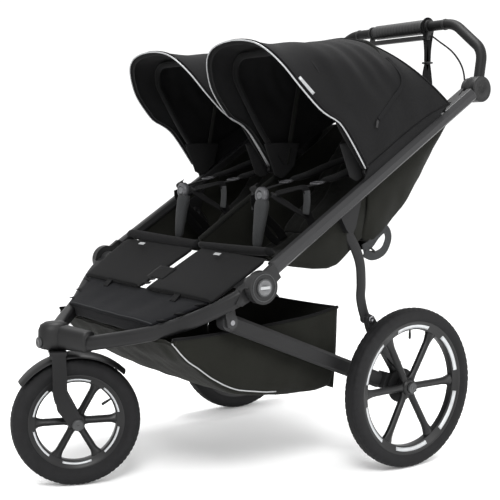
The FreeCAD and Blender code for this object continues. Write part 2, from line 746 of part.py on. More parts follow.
def lower_tube(side, sign):
    """Flat-sided tube from the lower pivot back to the axle's bracket."""
    wide, tall = dim("lower_tube_wide"), dim("lower_tube_tall")
    middle = dim("lower_tube_inset") + wide * 0.5
    start = vector(middle * sign, LOWER_Y, LOWER_Z)
    end = vector(sign * 322, -59, float(AXLE_Z) + 17.6)
    heading = (end - start).normalize()
    first = start + heading * 2
    a, b, c = wide * 0.5, tall * 0.5, 7
    section = [(a, c - b), (a, b - c), (a - c, b), (c - a, b), (-a, b - c), (-a, c - b), (c - a, -b),
               (a - c, -b)]
    across = heading.cross(UP).normalize()
    turn = FreeCAD.Rotation(across, across.cross(heading) * -1, heading, "ZXY")
    tube = pad("XY_Plane", section, (end - first).Length, first, turn)
    low, high = span(sign, dim("lower_tube_inset") - 1.4, dim("lower_tube_inset") + wide + 1.4)
    eye = rod_x(tall * 0.5 + 1, low, high, LOWER_Y, LOWER_Z)
    bore = rod_x(PIN, low - 3, high + 3, LOWER_Y, LOWER_Z)
    return keep(fuse(cut(tube, bore), cut(eye, bore)), "lower_tube_" + side)


def rear_leg(side, sign):
    """Bracket round the axle with an arm to the lower tube and the leg up to the knuckle."""
    axle_z = float(AXLE_Z)
    low, high = span(sign, 306, 338)
    boss = rod_x(24, low, high, 0, axle_z)
    saddle = side_plate([(-8, axle_z - 22), (-57, axle_z - 1.5), (-40, axle_z + 37), (8, axle_z + 22)],
                        low, high)
    leg_low, leg_high = span(sign, dim("strut_inset") + dim("strut_wide") + GAP, 343)
    leg = side_plate(
        [(12, axle_z + 6), (2, axle_z + 60), (KNEE_Y + 30, KNEE_Z - 22), (KNEE_Y + 12, KNEE_Z + 6),
         (KNEE_Y - 2, KNEE_Z + 13), (KNEE_Y - 13, KNEE_Z + 4), (KNEE_Y - 2, KNEE_Z - 34),
         (-24, axle_z + 40), (-14, axle_z + 6)], leg_low, leg_high)
    foot_low, foot_high = span(sign, 326, 343)
    foot = side_plate(
        [(12, axle_z + 6), (2, axle_z + 60), (-58, axle_z + 128), (-80, axle_z + 120),
         (-24, axle_z + 40), (-14, axle_z + 6)], foot_low, foot_high)
    bore = rod_x(dim("axle_radius"), low - 9, high + 9, 0, axle_z)
    knee_bore = rod_x(PIN, leg_low - 2, leg_high + 2, KNEE_Y, KNEE_Z)
    return keep(cut(fuse(boss, saddle, leg, foot), bore, knee_bore), "rear_leg_" + side)


def rear_axle():
    """Axle tube with a stub spindle for each wheel."""
    tube = rod_x(dim("axle_radius"), -dim("axle_end"), dim("axle_end"), 0, AXLE_Z)
    spindle = rod_x(dim("spindle_radius"), -384, 384, 0, AXLE_Z)
    return keep(fuse(tube, spindle), "rear_axle")


def rear_frame_pins():
    """Pins pressed in the lower tubes' eyes, and the knuckle rivets in the legs."""
    pins = []
    for _, sign in SIDES:
        inset = dim("lower_tube_inset")
        low, high = span(sign, inset - 3, inset + dim("lower_tube_wide") + GAP + 11)
        pins.append(rod_x(PIN, low, high, LOWER_Y, LOWER_Z))
        low, high = span(sign, dim("strut_inset") + dim("strut_wide") + GAP, 346)
        pins.append(rod_x(PIN, low, high, KNEE_Y, KNEE_Z))
    return keep(group(*pins), "rear_frame_pins")


def brake_plate(side, sign):
    """Fixed back plate of the drum brake, with a boss for the brake arm."""
    low, high = span(sign, 343.5, 347.5)
    bore_low, bore_high = span(sign, 340, 350)
    plate = rod_x(dim("brake_drum_radius"), low, high, 0, AXLE_Z)
    bore = rod_x(dim("spindle_radius"), bore_low, bore_high, 0, AXLE_Z)
    peg_low, peg_high = span(sign, 338.5, 343.5)
    peg = rod_x(4, peg_low, peg_high, 10, AXLE_Z - 30)
    return keep(fuse(cut(plate, bore), peg), "brake_plate_" + side)


def brake_arm(side, sign):
    """Small lever that works the shoes when the cable pulls."""
    low, high = span(sign, 339, 343)
    z = AXLE_Z - 30
    arm = side_plate([(2, z - 8), (20, z - 8), (60, z + 6), (60, z + 14), (20, z + 8), (2, z + 8)],
                     low, high)
    bore = rod_x(4 + dim("running_gap"), low - 4, high + 4, 10, z)
    return keep(cut(arm, bore), "brake_arm_" + side)


def basket():
    """Under-seat storage basket, open at the top."""
    half, wall = dim("basket_half_width"), dim("basket_wall")
    outside = [(-600, 364), (-586, 326), (-540, 276), (-484, 240), (-412, 224), (-291, 208),
               (-173, 214), (-164, 404), (-200, 398), (-384, 380), (-498, 372)]
    inside = [(-593, 400), (-580, 330), (-536, 283), (-482, 247), (-411, 231), (-291, 215),
              (-180, 221), (-171, 420), (-300, 420)]
    shell = side_plate(outside, -half, half)
    hollow = side_plate(inside, wall - half, half - wall)
    return keep(cut(shell, hollow), "basket")


# ---------------------------------------------------------------- struts and handlebar
def strut(sign):
    """Cranked strut from the bracket down to the knuckle."""
    low, high = span(sign, dim("strut_inset"), dim("strut_inset") + dim("strut_wide"))
    half = dim("strut_tall") * 0.5
    plate = side_plate(
        [(TOP_Y - 8, TOP_Z + 10), (TOP_Y + 8, TOP_Z + 10), (-158, 592), (-136, 562), (-120, 528),
         (-120, 440), (-110, 418), (KNEE_Y + half, KNEE_Z - 8), (KNEE_Y, KNEE_Z - 13),
         (KNEE_Y - half, KNEE_Z), (-141, 420), (-144, 512), (-158, 548), (TOP_Y - 12, TOP_Z - 6)],
        low, high)
    top = rod_x(BORE, low - 2, high + 2, TOP_Y, TOP_Z)
    rivet_low, rivet_high = span(sign, dim("strut_inset") - 4, dim("strut_inset") + 4)
    rivet = rod_x(PIN + 1, rivet_low, rivet_high, KNEE_Y, KNEE_Z)
    return fuse(cut(plate, top), rivet)


def struts():
    return keep(group(*[strut(sign) for _, sign in SIDES]), "fold_struts")


def handle_frame():
    """Handlebar tube: two arms, two slanting shoulders and the cross part."""
    lean = math.radians(float(dim("handle_lean")))
    up = V(0, math.cos(lean), math.sin(lean))
    origin = vector(0, HANDLE_Y, HANDLE_Z)
    arm = float(dim("handle_half_width"))
    reach = float(dim("handle_reach"))

    def at(x, s):
        return origin + ACROSS * x + up * s

    knee, flat = float(dim("handle_knee")), float(dim("handle_flat_half"))
    corners = [at(arm, 6), at(arm - 10, knee), at(flat, reach), at(-flat, reach),
               at(10 - arm, knee), at(-arm, 6)]
    tube = featured(round_sweep(bent(corners, float(dim("handle_bend_trim"))),
                                dim("handle_tube_radius"), corners[0], corners[1] - corners[0]))
    ends = []
    for _, sign in SIDES:
        half = dim("handle_disc_half")
        low, high = span(sign, arm - half, arm + half)
        ends.append(rod_x(dim("handle_hub_radius"), low, high, HANDLE_Y, HANDLE_Z))
    return keep(fuse(tube, *ends), "handle_frame")


def on_handle(x, s, lift=0.0):
    """A place in the handlebar's plane: across, up from the pivot, and off the plane."""
    lean = math.radians(float(dim("handle_lean")))
    return V(x, float(HANDLE_Y) + s * math.cos(lean) - lift * math.sin(lean),
             float(HANDLE_Z) + s * math.sin(lean) + lift * math.cos(lean))


def twist_grip():
    """Sleeve round the middle of the handlebar that turns to release the fold."""
    half = dim("twist_grip_half")
    place = on_handle(0, float(dim("handle_reach")))
    sleeve = ring_x(dim("twist_grip_radius"), dim("handle_tube_radius") + dim("running_gap"),
                    -half, half, place.y, place.z)
    return keep(sleeve, "twist_grip")


def brake_lever():
    """Hand brake lever under the cross part, in front of the user's fingers."""
    half = float(dim("twist_grip_half")) + 14
    place = on_handle(0, float(dim("handle_reach")))
    pivot = V(0, place.y - 8, place.z - 33)
    blade = box(2 * half, 9, 12, V(-half, pivot.y - 22, pivot.z - 6))
    rod = rod_x(5, -half, half, pivot.y, pivot.z)
    web = box(2 * half, 20, 5, V(-half, pivot.y - 20, pivot.z - 2.5))
    bore = rod_x(2.55, -half - 1, half + 1, pivot.y, pivot.z)
    keep(cut(fuse(blade, rod, web), bore), "brake_lever")
    ears = []
    for _, sign in SIDES:
        low, high = span(sign, half + GAP, half + GAP + 7)
        hanger = ring_x(dim("handle_tube_radius") + 5, dim("handle_tube_radius"), low, high,
                        place.y, place.z)
        drop = side_plate([(pivot.y - 6, pivot.z - 5), (pivot.y + 6, pivot.z - 5),
                           (place.y + 7, place.z - 15), (place.y - 9, place.z - 15)], low, high)
        ears += [fuse(hanger, drop)]
    pin = rod_x(2.5, -half - 4, half + 4, pivot.y, pivot.z)
    return keep(fuse(*ears, pin), "lever_bracket")


# ---------------------------------------------------------------- the stroller
for side, sign in SIDES:
    main_tube(side, sign)
    fold_housing(side, sign)
    handle_hub(side, sign)
    seat_base(side, sign)
    seat_back(side, sign)
    calf_pad(side, sign)
    buckle(side, sign)
    canopy(side, sign)
    canopy_bow(side, sign)
    front_tube(side, sign)
    lower_tube(side, sign)
    rear_leg(side, sign)
    brake_plate(side, sign)
    brake_arm(side, sign)
    rear_wheel(side, sign)
fold_caps()
seat_frame_pins()
strut_brackets()
crossbar()
seat_sides()
canopy_mounts()
front_crown()
swivel_knob()
foot_tray()
fork()
steerer()
fender()
front_axle()
front_wheel()
rear_axle()
rear_frame_pins()
basket()
struts()
handle_frame()
twist_grip()
brake_lever()
doc.recompute()

failed = [o.Name for o in doc.Objects if "Invalid" in o.State or "Error" in o.State]
if failed:
    raise RuntimeError("features that failed: " + ", ".join(failed))
for part in parts:
    if part.Shape.isNull() or not part.Shape.isValid() or not part.Shape.Solids:
        raise RuntimeError("no sound solid: " + part.Label)
for part in parts:
    part.Shape.exportStep("parts/%s.step" % part.Label)
print(len(parts), "sub-parts written")
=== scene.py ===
"""Looks for the side-by-side double jogging stroller. Lengths are in millimetres until a mesh is made."""
import bpy
import json
import math
import numpy as np
from mathutils import Matrix, Vector, noise


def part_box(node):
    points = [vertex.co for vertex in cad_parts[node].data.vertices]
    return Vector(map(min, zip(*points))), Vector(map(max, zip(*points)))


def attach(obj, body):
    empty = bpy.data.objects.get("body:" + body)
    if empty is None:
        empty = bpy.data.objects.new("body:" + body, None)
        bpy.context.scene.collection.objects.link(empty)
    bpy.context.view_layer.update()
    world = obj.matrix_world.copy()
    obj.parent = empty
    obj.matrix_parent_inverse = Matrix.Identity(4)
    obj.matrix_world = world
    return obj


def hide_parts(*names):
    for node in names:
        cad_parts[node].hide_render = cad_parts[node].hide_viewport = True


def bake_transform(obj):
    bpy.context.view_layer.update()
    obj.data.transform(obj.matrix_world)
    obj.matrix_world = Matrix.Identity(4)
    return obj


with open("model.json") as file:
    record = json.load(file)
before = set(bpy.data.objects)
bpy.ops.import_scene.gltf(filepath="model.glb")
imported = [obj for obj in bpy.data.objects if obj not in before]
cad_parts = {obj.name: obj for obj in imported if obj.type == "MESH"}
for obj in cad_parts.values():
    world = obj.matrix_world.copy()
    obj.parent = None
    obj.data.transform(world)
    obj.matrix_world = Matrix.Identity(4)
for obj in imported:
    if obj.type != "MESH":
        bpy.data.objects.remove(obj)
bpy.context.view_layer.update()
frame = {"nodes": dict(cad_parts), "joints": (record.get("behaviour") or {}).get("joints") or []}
MM = 0.001
SIDES = (("left", 1), ("right", -1))


# ---------------------------------------------------------------- places taken from the frame
def corners(node):
    """A node's box in millimetres."""
    low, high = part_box(node)
    return np.array(low) * 1000, np.array(high) * 1000


def middle_of(node):
    return sum(corners(node)) / 2


def joint(name):
    return [j for j in frame["joints"] if j["name"] == name][0]


FOLD = np.array(joint("fold")["pos_m"]) * 1000
HANDLE = np.array(joint("handlebar_tilt")["pos_m"]) * 1000
BOW = np.array(joint("canopy_fold_left")["pos_m"]) * 1000
TUBE_LOW = corners("main_tube_left")[0]
TUBE_HALF = 15.5
TUBE_MIDDLE = 356.0
TUBE_SLOPE = math.radians(32.7)
TUBE_RISE = TUBE_LOW[2] + TUBE_HALF / math.cos(TUBE_SLOPE) - TUBE_LOW[1] * math.tan(TUBE_SLOPE)


def tube_z(y, offset=0.0):
    """Height of the main tube's middle line at y, moved square to the tube by offset."""
    return TUBE_RISE + y * math.tan(TUBE_SLOPE) + offset / math.cos(TUBE_SLOPE)


# ---------------------------------------------------------------- node materials
class Nodes:
    """Short forms for building a material's node tree."""

    def __init__(self, name):
        self.material = bpy.data.materials.new(name)
        self.material.use_nodes = True
        self.tree = self.material.node_tree
        self.shader = self.tree.nodes["Principled BSDF"]
        self.place = self.add("ShaderNodeTexCoord").outputs["Object"]

    def add(self, kind, **values):
        node = self.tree.nodes.new(kind)
        for key, value in values.items():
            setattr(node, key, value)
        return node

    def link(self, source, target):
        self.tree.links.new(source, target)

    def set(self, **values):
        for key, value in values.items():
            self.shader.inputs[key.replace("_", " ")].default_value = value

    def noise(self, scale, detail=3.0, stretch=None):
        node = self.add("ShaderNodeTexNoise")
        node.inputs["Scale"].default_value = scale
        node.inputs["Detail"].default_value = detail
        place = self.place
        if stretch:
            mapping = self.add("ShaderNodeMapping")
            mapping.inputs["Scale"].default_value = stretch
            self.link(place, mapping.inputs["Vector"])
            place = mapping.outputs["Vector"]
        self.link(place, node.inputs["Vector"])
        return node.outputs["Fac"]

    def wave(self, scale, direction):
        node = self.add("ShaderNodeTexWave", bands_direction=direction)
        node.inputs["Scale"].default_value = scale
        node.inputs["Distortion"].default_value = 0.6
        self.link(self.place, node.inputs["Vector"])
        return node.outputs["Fac"]

    def ramp(self, source, stops):
        node = self.add("ShaderNodeValToRGB")
        ramp = node.color_ramp
        while len(ramp.elements) < len(stops):
            ramp.elements.new(0.5)
        for element, (at, colour) in zip(ramp.elements, stops):
            element.position = at
            element.color = tuple(colour) + (1.0,)
        self.link(source, node.inputs["Fac"])
        return node.outputs["Color"]

    def math(self, operation, a, b):
        node = self.add("ShaderNodeMath", operation=operation)
        for slot, value in zip(node.inputs, (a, b)):
            if isinstance(value, (int, float)):
                slot.default_value = value
            else:
                self.link(value, slot)
        return node.outputs["Value"]

    def range(self, source, low, high):
        node = self.add("ShaderNodeMapRange")
        node.inputs["To Min"].default_value = low
        node.inputs["To Max"].default_value = high
        self.link(source, node.inputs["Value"])
        return node.outputs["Result"]

    def mix(self, factor, first, second):
        node = self.add("ShaderNodeMix", data_type="RGBA")
        self.link(factor, node.inputs["Factor"])
        for key, value in (("A", first), ("B", second)):
            slot = [s for s in node.inputs if s.name == key and s.type == "RGBA"][0]
            if isinstance(value, tuple):
                slot.default_value = value + (1.0,)
            else:
                self.link(value, slot)
        return [o for o in node.outputs if o.type == "RGBA"][0]

    def edges(self, low, high):
        """Where the surface is convex: worn edges and raised threads."""
        point = self.add("ShaderNodeNewGeometry").outputs["Pointiness"]
        node = self.add("ShaderNodeMapRange")
        node.inputs["From Min"].default_value = low
        node.inputs["From Max"].default_value = high
        self.link(point, node.inputs["Value"])
        return node.outputs["Result"]

    def colour(self, source, colour, low, high, places=(0.3, 0.7)):
        """A colour that drifts between a darker and a lighter shade along source."""
        return self.ramp(source, [(places[0], shade(colour, low)), (places[1], shade(colour, high))])

    def base(self, source):
        self.link(source, self.shader.inputs["Base Color"])

    def rough(self, source, low, high):
        self.link(self.range(source, low, high), self.shader.inputs["Roughness"])

    def bump(self, height, strength, distance):
        node = self.add("ShaderNodeBump")
        node.inputs["Strength"].default_value = strength
        node.inputs["Distance"].default_value = distance
        self.link(height, node.inputs["Height"])
        self.link(node.outputs["Normal"], self.shader.inputs["Normal"])


def shade(colour, factor):
    return tuple(min(1.0, c * factor) for c in colour)


def cloth(name, colour, thread=480.0, depth=0.35, sheen=0.05, mottle=0.18, rough=0.85):
    """Plain weave: crossed threads, a melange of lighter and darker yarn, soft sheen."""
    n = Nodes(name)
    fine = n.noise(520, 4)
    broad = n.noise(9, 3)
    yarn = n.colour(fine, colour, 1 - mottle, 1 + mottle, (0.32, 0.68))
    cloud = n.ramp(broad, [(0.3, (0.88, 0.88, 0.88)), (0.7, (1.1, 1.1, 1.1))])
    mix = n.add("ShaderNodeMix", data_type="RGBA", blend_type="MULTIPLY")
    mix.inputs["Factor"].default_value = 1.0
    colour_slots = [s for s in mix.inputs if s.type == "RGBA"]
    n.link(yarn, colour_slots[0])
    n.link(cloud, colour_slots[1])
    n.base([o for o in mix.outputs if o.type == "RGBA"][0])
    threads = n.math("MAXIMUM", n.wave(thread, "Z"),
                     n.math("MAXIMUM", n.wave(thread, "X"), n.wave(thread, "Y")))
    height = n.math("ADD", n.math("MULTIPLY", threads, 0.6), n.math("MULTIPLY", fine, 0.8))
    n.bump(height, depth, 0.0006)
    n.rough(broad, rough - 0.06, rough + 0.06)
    n.set(Sheen_Weight=sheen, Sheen_Roughness=0.45, Specular_IOR_Level=0.04)
    return n.material


def coated_metal(name, colour, rough=0.42):
    """Powder coat: fine orange peel, a little colour drift and lighter worn edges."""
    n = Nodes(name)
    peel = n.noise(900, 2)
    drift = n.noise(14, 4)
    body = n.colour(drift, colour, 0.9, 1.12)
    n.base(n.mix(n.edges(0.53, 0.62), body, shade(colour, 2.2)))
    n.rough(drift, rough - 0.07, rough + 0.08)
    n.bump(peel, 0.12, 0.0004)
    n.set(Metallic=0.3, Specular_IOR_Level=0.22)
    return n.material


def moulded(name, colour, rough=0.5, grain=650.0):
    """Moulded plastic with a spark-eroded grain."""
    n = Nodes(name)
    spots = n.noise(grain, 5)
    drift = n.noise(22, 3)
    n.base(n.colour(drift, colour, 0.85, 1.15))
    n.rough(spots, rough - 0.08, rough + 0.1)
    n.bump(spots, 0.22, 0.0005)
    n.set(Specular_IOR_Level=0.28)
    return n.material


def tyre_rubber(name, colour):
    """Matt rubber with dust in the tread and paler edges."""
    n = Nodes(name)
    dust = n.noise(60, 6)
    grain = n.noise(420, 3)
    body = n.colour(dust, colour, 0.85, 1.35, (0.35, 0.75))
    n.base(n.mix(n.edges(0.52, 0.6), body, shade(colour, 1.7)))
    n.rough(dust, 0.62, 0.85)
    n.bump(grain, 0.25, 0.0006)
    n.set(Specular_IOR_Level=0.15)
    return n.material


def reflective(name, colour):
    """Glass-bead reflective tape: fine beads over silver grey."""
    n = Nodes(name)
    beads = n.add("ShaderNodeTexVoronoi")
    beads.inputs["Scale"].default_value = 900
    n.link(n.place, beads.inputs["Vector"])
    n.base(n.colour(n.noise(40, 3), colour, 0.9, 1.08))
    n.bump(beads.outputs["Distance"], 0.2, 0.0004)
    n.set(Metallic=0.25, Roughness=0.42)
    return n.material


def grained(name, colour):
    """Stitched synthetic leather on the grips."""
    n = Nodes(name)
    cells = n.add("ShaderNodeTexVoronoi", feature="SMOOTH_F1")
    cells.inputs["Scale"].default_value = 520
    n.link(n.place, cells.inputs["Vector"])
    n.base(n.colour(n.noise(30, 4), colour, 0.85, 1.2))
    n.rough(cells.outputs["Distance"], 0.42, 0.62)
    n.bump(cells.outputs["Distance"], 0.35, 0.0008)
    return n.material


def steel(name, colour):
    """Turned steel with fine lines along the pin."""
    n = Nodes(name)
    lines = n.noise(300, 2, (1.0, 1.0, 30.0))
    n.base(n.colour(lines, colour, 0.85, 1.1))
    n.rough(lines, 0.28, 0.45)
    n.bump(lines, 0.1, 0.0003)
    n.set(Metallic=1.0)
    return n.material


FRAME_COAT = coated_metal("frame_coat", (0.0115, 0.0115, 0.0119))
FRAME_DARK = coated_metal("frame_coat_dark", (0.0046, 0.0046, 0.0048), 0.56)
HOOD_CLOTH = cloth("hood_cloth", (0.008, 0.008, 0.0083))
HOOD_LINING = cloth("hood_lining", (0.0098, 0.0098, 0.0102), sheen=0.01)
SEAT_CLOTH = cloth("seat_cloth", (0.009, 0.0092, 0.0084))
SIDE_CLOTH = cloth("side_cloth", (0.0088, 0.009, 0.0074))
PAD_CLOTH = cloth("pad_cloth", (0.0058, 0.0058, 0.0061), mottle=0.3)
TRAY_CLOTH = cloth("tray_cloth", (0.0044, 0.0046, 0.0056))
BASKET_CLOTH = cloth("basket_cloth", (0.0098, 0.01, 0.0083))
POCKET_CLOTH = cloth("pocket_cloth", (0.013, 0.013, 0.0134))
WEBBING = cloth("webbing", (0.0045, 0.0045, 0.0048), thread=300.0, depth=0.6)
STRAP_GREY = cloth("strap_grey", (0.03, 0.031, 0.032), thread=300.0, depth=0.5)
PIPING = reflective("piping", (0.3, 0.305, 0.31))
RIM_TAPE = reflective("rim_tape", (0.42, 0.43, 0.44))
TYRE = tyre_rubber("tyre_rubber", (0.0085, 0.0085, 0.009))
RIM = moulded("rim_plastic", (0.005, 0.005, 0.0053), 0.38)
PLASTIC = moulded("black_plastic", (0.007, 0.007, 0.0073))
PLASTIC_GREY = moulded("grey_plastic", (0.09, 0.092, 0.096), 0.45)
CAP = moulded("cap_plastic", (0.035, 0.036, 0.037), 0.4)
DARK_COVER = moulded("dark_cover", (0.0032, 0.0032, 0.0034), 0.5)
FOLD_CAP = moulded("fold_cap_plastic", (0.1, 0.101, 0.104), 0.35)
GRIP = grained("grip_cover", (0.0062, 0.0062, 0.0066))
STEEL = steel("pin_steel", (0.2, 0.2, 0.21))
BUCKLE = moulded("buckle_plastic", (0.06, 0.06, 0.064), 0.35)


# ---------------------------------------------------------------- meshes
def make(name, points, faces, material, smooth=True):
    """A mesh object from millimetre points."""
    mesh = bpy.data.meshes.new(name)
    mesh.from_pydata([tuple(float(c) * MM for c in p) for p in points], [], faces)
    mesh.validate()
    obj = bpy.data.objects.new(name, mesh)
    bpy.context.scene.collection.objects.link(obj)
    for m in material if isinstance(material, list) else [material]:
        mesh.materials.append(m)
    if smooth:
        mesh.polygons.foreach_set("use_smooth", [True] * len(mesh.polygons))
    return obj


def apply_all(obj):
    """Turn the object's modifiers into its mesh."""
    bpy.context.view_layer.update()
    mesh = bpy.data.meshes.new_from_object(obj.evaluated_get(bpy.context.evaluated_depsgraph_get()))
    old = obj.data
    obj.modifiers.clear()
    obj.data = mesh
    bpy.data.meshes.remove(old)
    return obj


def modify(obj, kind, **values):
    modifier = obj.modifiers.new(kind.lower(), kind)
    for key, value in values.items():
        setattr(modifier, key, value)
    return obj


def curve_through(points, count):
    """Catmull-Rom curve through points, at evenly spaced places along its length."""
    points = np.array(points, float)
    ends = np.vstack([2 * points[0] - points[1], points, 2 * points[-1] - points[-2]])
    dense = []
    for i in range(1, len(ends) - 2):
        a, b, c, d = ends[i - 1:i + 3]
        for t in np.linspace(0, 1, 16, endpoint=False):
            dense.append(0.5 * ((2 * b) + (c - a) * t + (2 * a - 5 * b + 4 * c - d) * t * t
                                + (3 * b - a - 3 * c + d) * t ** 3))
    dense.append(points[-1])
    return spaced(np.array(dense), count)


def spaced(points, count):
    """The same polyline with count points evenly spaced along it."""
    lengths = np.linalg.norm(np.diff(points, axis=0), axis=1)
    along = np.concatenate([[0], np.cumsum(lengths)])
    want = np.linspace(0, along[-1], count)
    return np.stack([np.interp(want, along, points[:, k]) for k in range(points.shape[1])], 1)


def ring_profile(radius, count=12, squash=1.0):
    turn = np.linspace(0, 2 * math.pi, count, endpoint=False)
    return np.stack([radius * np.cos(turn), radius * squash * np.sin(turn)], 1)


def strap_profile(width, thick):
    """A flat webbing section with rounded, slightly thicker selvedges."""
    w, t = width / 2, thick / 2
    return np.array([(-w, -t * 0.7), (-w * 0.86, -t * 1.15), (-w * 0.7, -t), (w * 0.7, -t),
                     (w * 0.86, -t * 1.15), (w, -t * 0.7), (w, t * 0.7), (w * 0.86, t * 1.15),
                     (w * 0.7, t), (-w * 0.7, t), (-w * 0.86, t * 1.15), (-w, t * 0.7)])


def sweep(name, path, profile, material, up=(0, 0, 1), scale=None):
    """A closed tube along a path. The profile's first axis lies across, its second along up."""
    path = np.array(path, float)
    tangents = np.gradient(path, axis=0)
    tangents /= np.linalg.norm(tangents, axis=1)[:, None]
    up = np.array(up, float)
    points = []
    for i, (p, d) in enumerate(zip(path, tangents)):
        u = up - d * np.dot(up, d)
        u /= np.linalg.norm(u)
        side = np.cross(d, u)
        k = 1.0 if scale is None else scale[i]
        points += [p + side * x * k + u * y * k for x, y in profile]
    n = len(profile)
    faces = [(i * n + j, i * n + (j + 1) % n, (i + 1) * n + (j + 1) % n, (i + 1) * n + j)
             for i in range(len(path) - 1) for j in range(n)]
    faces.append(tuple(range(n - 1, -1, -1)))
    faces.append(tuple(range((len(path) - 1) * n, len(path) * n)))
    return make(name, points, faces, material)


def turn_profile(section, segments, tread=None):
    """Points and faces of a closed (x, r) section turned about X."""
    points, faces = [], []
    n = len(section)
    for k in range(segments):
        a = 2 * math.pi * k / segments
        for x, r in section:
            rr = r - (tread(a, x, r) if tread else 0.0)
            points.append((x, rr * math.cos(a), rr * math.sin(a)))
    for k in range(segments):
        for j in range(n):
            a, b = k * n + j, k * n + (j + 1) % n
            c, d = ((k + 1) % segments) * n + (j + 1) % n, ((k + 1) % segments) * n + j
            faces.append((a, d, c, b))
    return points, faces


def turned(name, section, segments, place, material):
    """A closed (x, r) section turned about X, with each point then moved by place."""
    points, faces = turn_profile(section, segments)
    return make(name, [place(*p) for p in points], faces, material)


def fit(obj, body, node=None):
    """Ride a piece on a body, and let it stand for a CAD node."""
    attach(obj, body)
    if node:
        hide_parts(node)
    return obj


def oval(half_wide, half_tall, count):
    return [(x * half_wide, y * half_tall) for x, y in ring_profile(1, count)]


def steps(count):
    """Fractions from 0 to 1."""
    return np.linspace(0, 1, count)


def ruffled(rows, axis, scale, height, seed):
    """Rows of points as an array, made uneven along one axis."""
    rows = np.array(rows)
    rows[..., axis] += ruffle(rows.reshape(-1, 3), scale, height, seed).reshape(rows.shape[:2])
    return rows


def sheet(name, grid, thick, material, lining=None):
    """A cloth sheet from a grid of points, given its thickness inwards."""
    grid = np.array(grid, float)
    rows, cols = grid.shape[:2]
    faces = [(i * cols + j, (i + 1) * cols + j, (i + 1) * cols + j + 1, i * cols + j + 1)
             for i in range(rows - 1) for j in range(cols - 1)]
    obj = make(name, grid.reshape(-1, 3), faces, [material, lining or material])
    modify(obj, "SOLIDIFY", thickness=thick * MM, offset=-1.0, material_offset=1 if lining else 0)
    return apply_all(obj)


def ruffle(points, scale, height, seed):
    """Gentle repeatable unevenness for cloth, as one height per point."""
    offset = Vector((seed * 7.1, seed * 3.3, seed * 1.7))
    return np.array([noise.noise(Vector(p) / scale + offset) * height for p in points])


# ---------------------------------------------------------------- hoods
HOOD_HALF = 190.0
BOW_HALF = 161
FRONT_EDGE = (  # offset from the hood's middle, y, z: up one side of the front opening
    (188, -165, 757), (189, -197, 801), (190, -232, 845), (194, -258, 866), (193, -290, 880),
    (187, -315, 899), (175, -359, 946), (155, -387, 988), (126, -408, 1022), (90, -418, 1043),
    (45, -422, 1053), (0, -423, 1056))
STATIONS = (  # lower edge y, z; crown y, z; squareness of the arch
    ((-108, 795), (-330, 1055), 0.53), ((-60, 826), (-275, 1057), 0.54),
    ((-10, 857), (-220, 1062), 0.58), ((40, 885), (-172, 1070), 0.68),
    ((80, 903), (-132, 1077), 0.8), ((116, 916), (-97, 1080), 0.95))
HOOD_ROWS, HOOD_COLS = 44, 61
VENT = ((0.33, 0.085), (0.45, 0.1), (0.57, 0.115), (0.68, 0.13), (0.76, 0.15), (0.83, 0.19), (0.88, 0.26))


def arch_row(base, crown, power):
    """One half of an arch across the hood, squarer as power falls."""
    turn = np.linspace(0, math.pi / 2, 60)
    across = HOOD_HALF * np.cos(turn) ** power
    rise = np.sin(turn) ** power
    return np.stack([across, base[0] + (crown[0] - base[0]) * rise,
                     base[1] + (crown[1] - base[1]) * rise], 1)


def whole_row(half):
    """Both halves of an arch, evenly spaced."""
    other = half[::-1][1:].copy()
    other[:, 0] *= -1
    return spaced(np.vstack([half, other]), HOOD_COLS)


def hood_grid(seed):
    """The hood's cloth surface about its own middle: rows run from the front edge to the rear."""
    front = curve_through(FRONT_EDGE, 80)
    rows = np.array([whole_row(front)] + [whole_row(arch_row(*s)) for s in STATIONS])
    grid = np.zeros((HOOD_ROWS, HOOD_COLS, 3))
    for j in range(HOOD_COLS):
        grid[:, j] = curve_through(rows[:, j], HOOD_ROWS)
    normals = grid_normals(grid)
    v = steps(HOOD_COLS)[None, :]
    u = steps(HOOD_ROWS)[:, None]
    crown = np.sin(math.pi * v) ** 0.5
    # the cloth dips between the ribs, then folds run up each side
    sag = -5.0 * np.sin(math.pi * np.clip(u / 0.42, 0, 1)) ** 2 * crown
    sag = sag - 3.5 * np.sin(math.pi * np.clip((u - 0.42) / 0.33, 0, 1)) ** 2 * crown
    for centre, width, lean, height in ((0.46, 0.05, 0.5, 3.5), (0.6, 0.045, 0.42, 4.0),
                                        (0.73, 0.04, 0.36, 3.0), (0.3, 0.05, 0.6, 2.0)):
        side = np.minimum(v, 1 - v)
        line = centre + (side - 0.25) * lean
        fold = np.exp(-((u - line) / width) ** 2) * np.exp(-((side - 0.27) / 0.13) ** 2)
        sag = sag + fold * height
    uneven = ruffle(grid.reshape(-1, 3), 55.0, 2.2, seed).reshape(HOOD_ROWS, HOOD_COLS)
    edge = np.minimum(1.0, np.minimum(u, 1 - u) * 10)
    return grid + normals * ((sag + uneven) * edge)[..., None]


def grid_normals(grid):
    """Unit normals of a grid that point out of an arch."""
    du, dv = np.gradient(grid, axis=0), np.gradient(grid, axis=1)
    n = np.cross(du, dv)
    n /= np.maximum(np.linalg.norm(n, axis=2), 1e-9)[..., None]
    middle = grid.shape[0] // 2, grid.shape[1] // 2
    return n if n[middle][2] > 0 else -n


def grid_at(grid, u, v):
    """A place on a grid at fractions u, v."""
    r, c = u * (grid.shape[0] - 1), v * (grid.shape[1] - 1)
    i, j = min(int(r), grid.shape[0] - 2), min(int(c), grid.shape[1] - 2)
    f, g = r - i, c - j
    return ((1 - f) * (1 - g) * grid[i, j] + f * (1 - g) * grid[i + 1, j]
            + (1 - f) * g * grid[i, j + 1] + f * g * grid[i + 1, j + 1])


def on_hood(grid, normals, path, lift):
    return [grid_at(grid, u, v) + grid_at(normals, u, v) * lift for u, v in path]


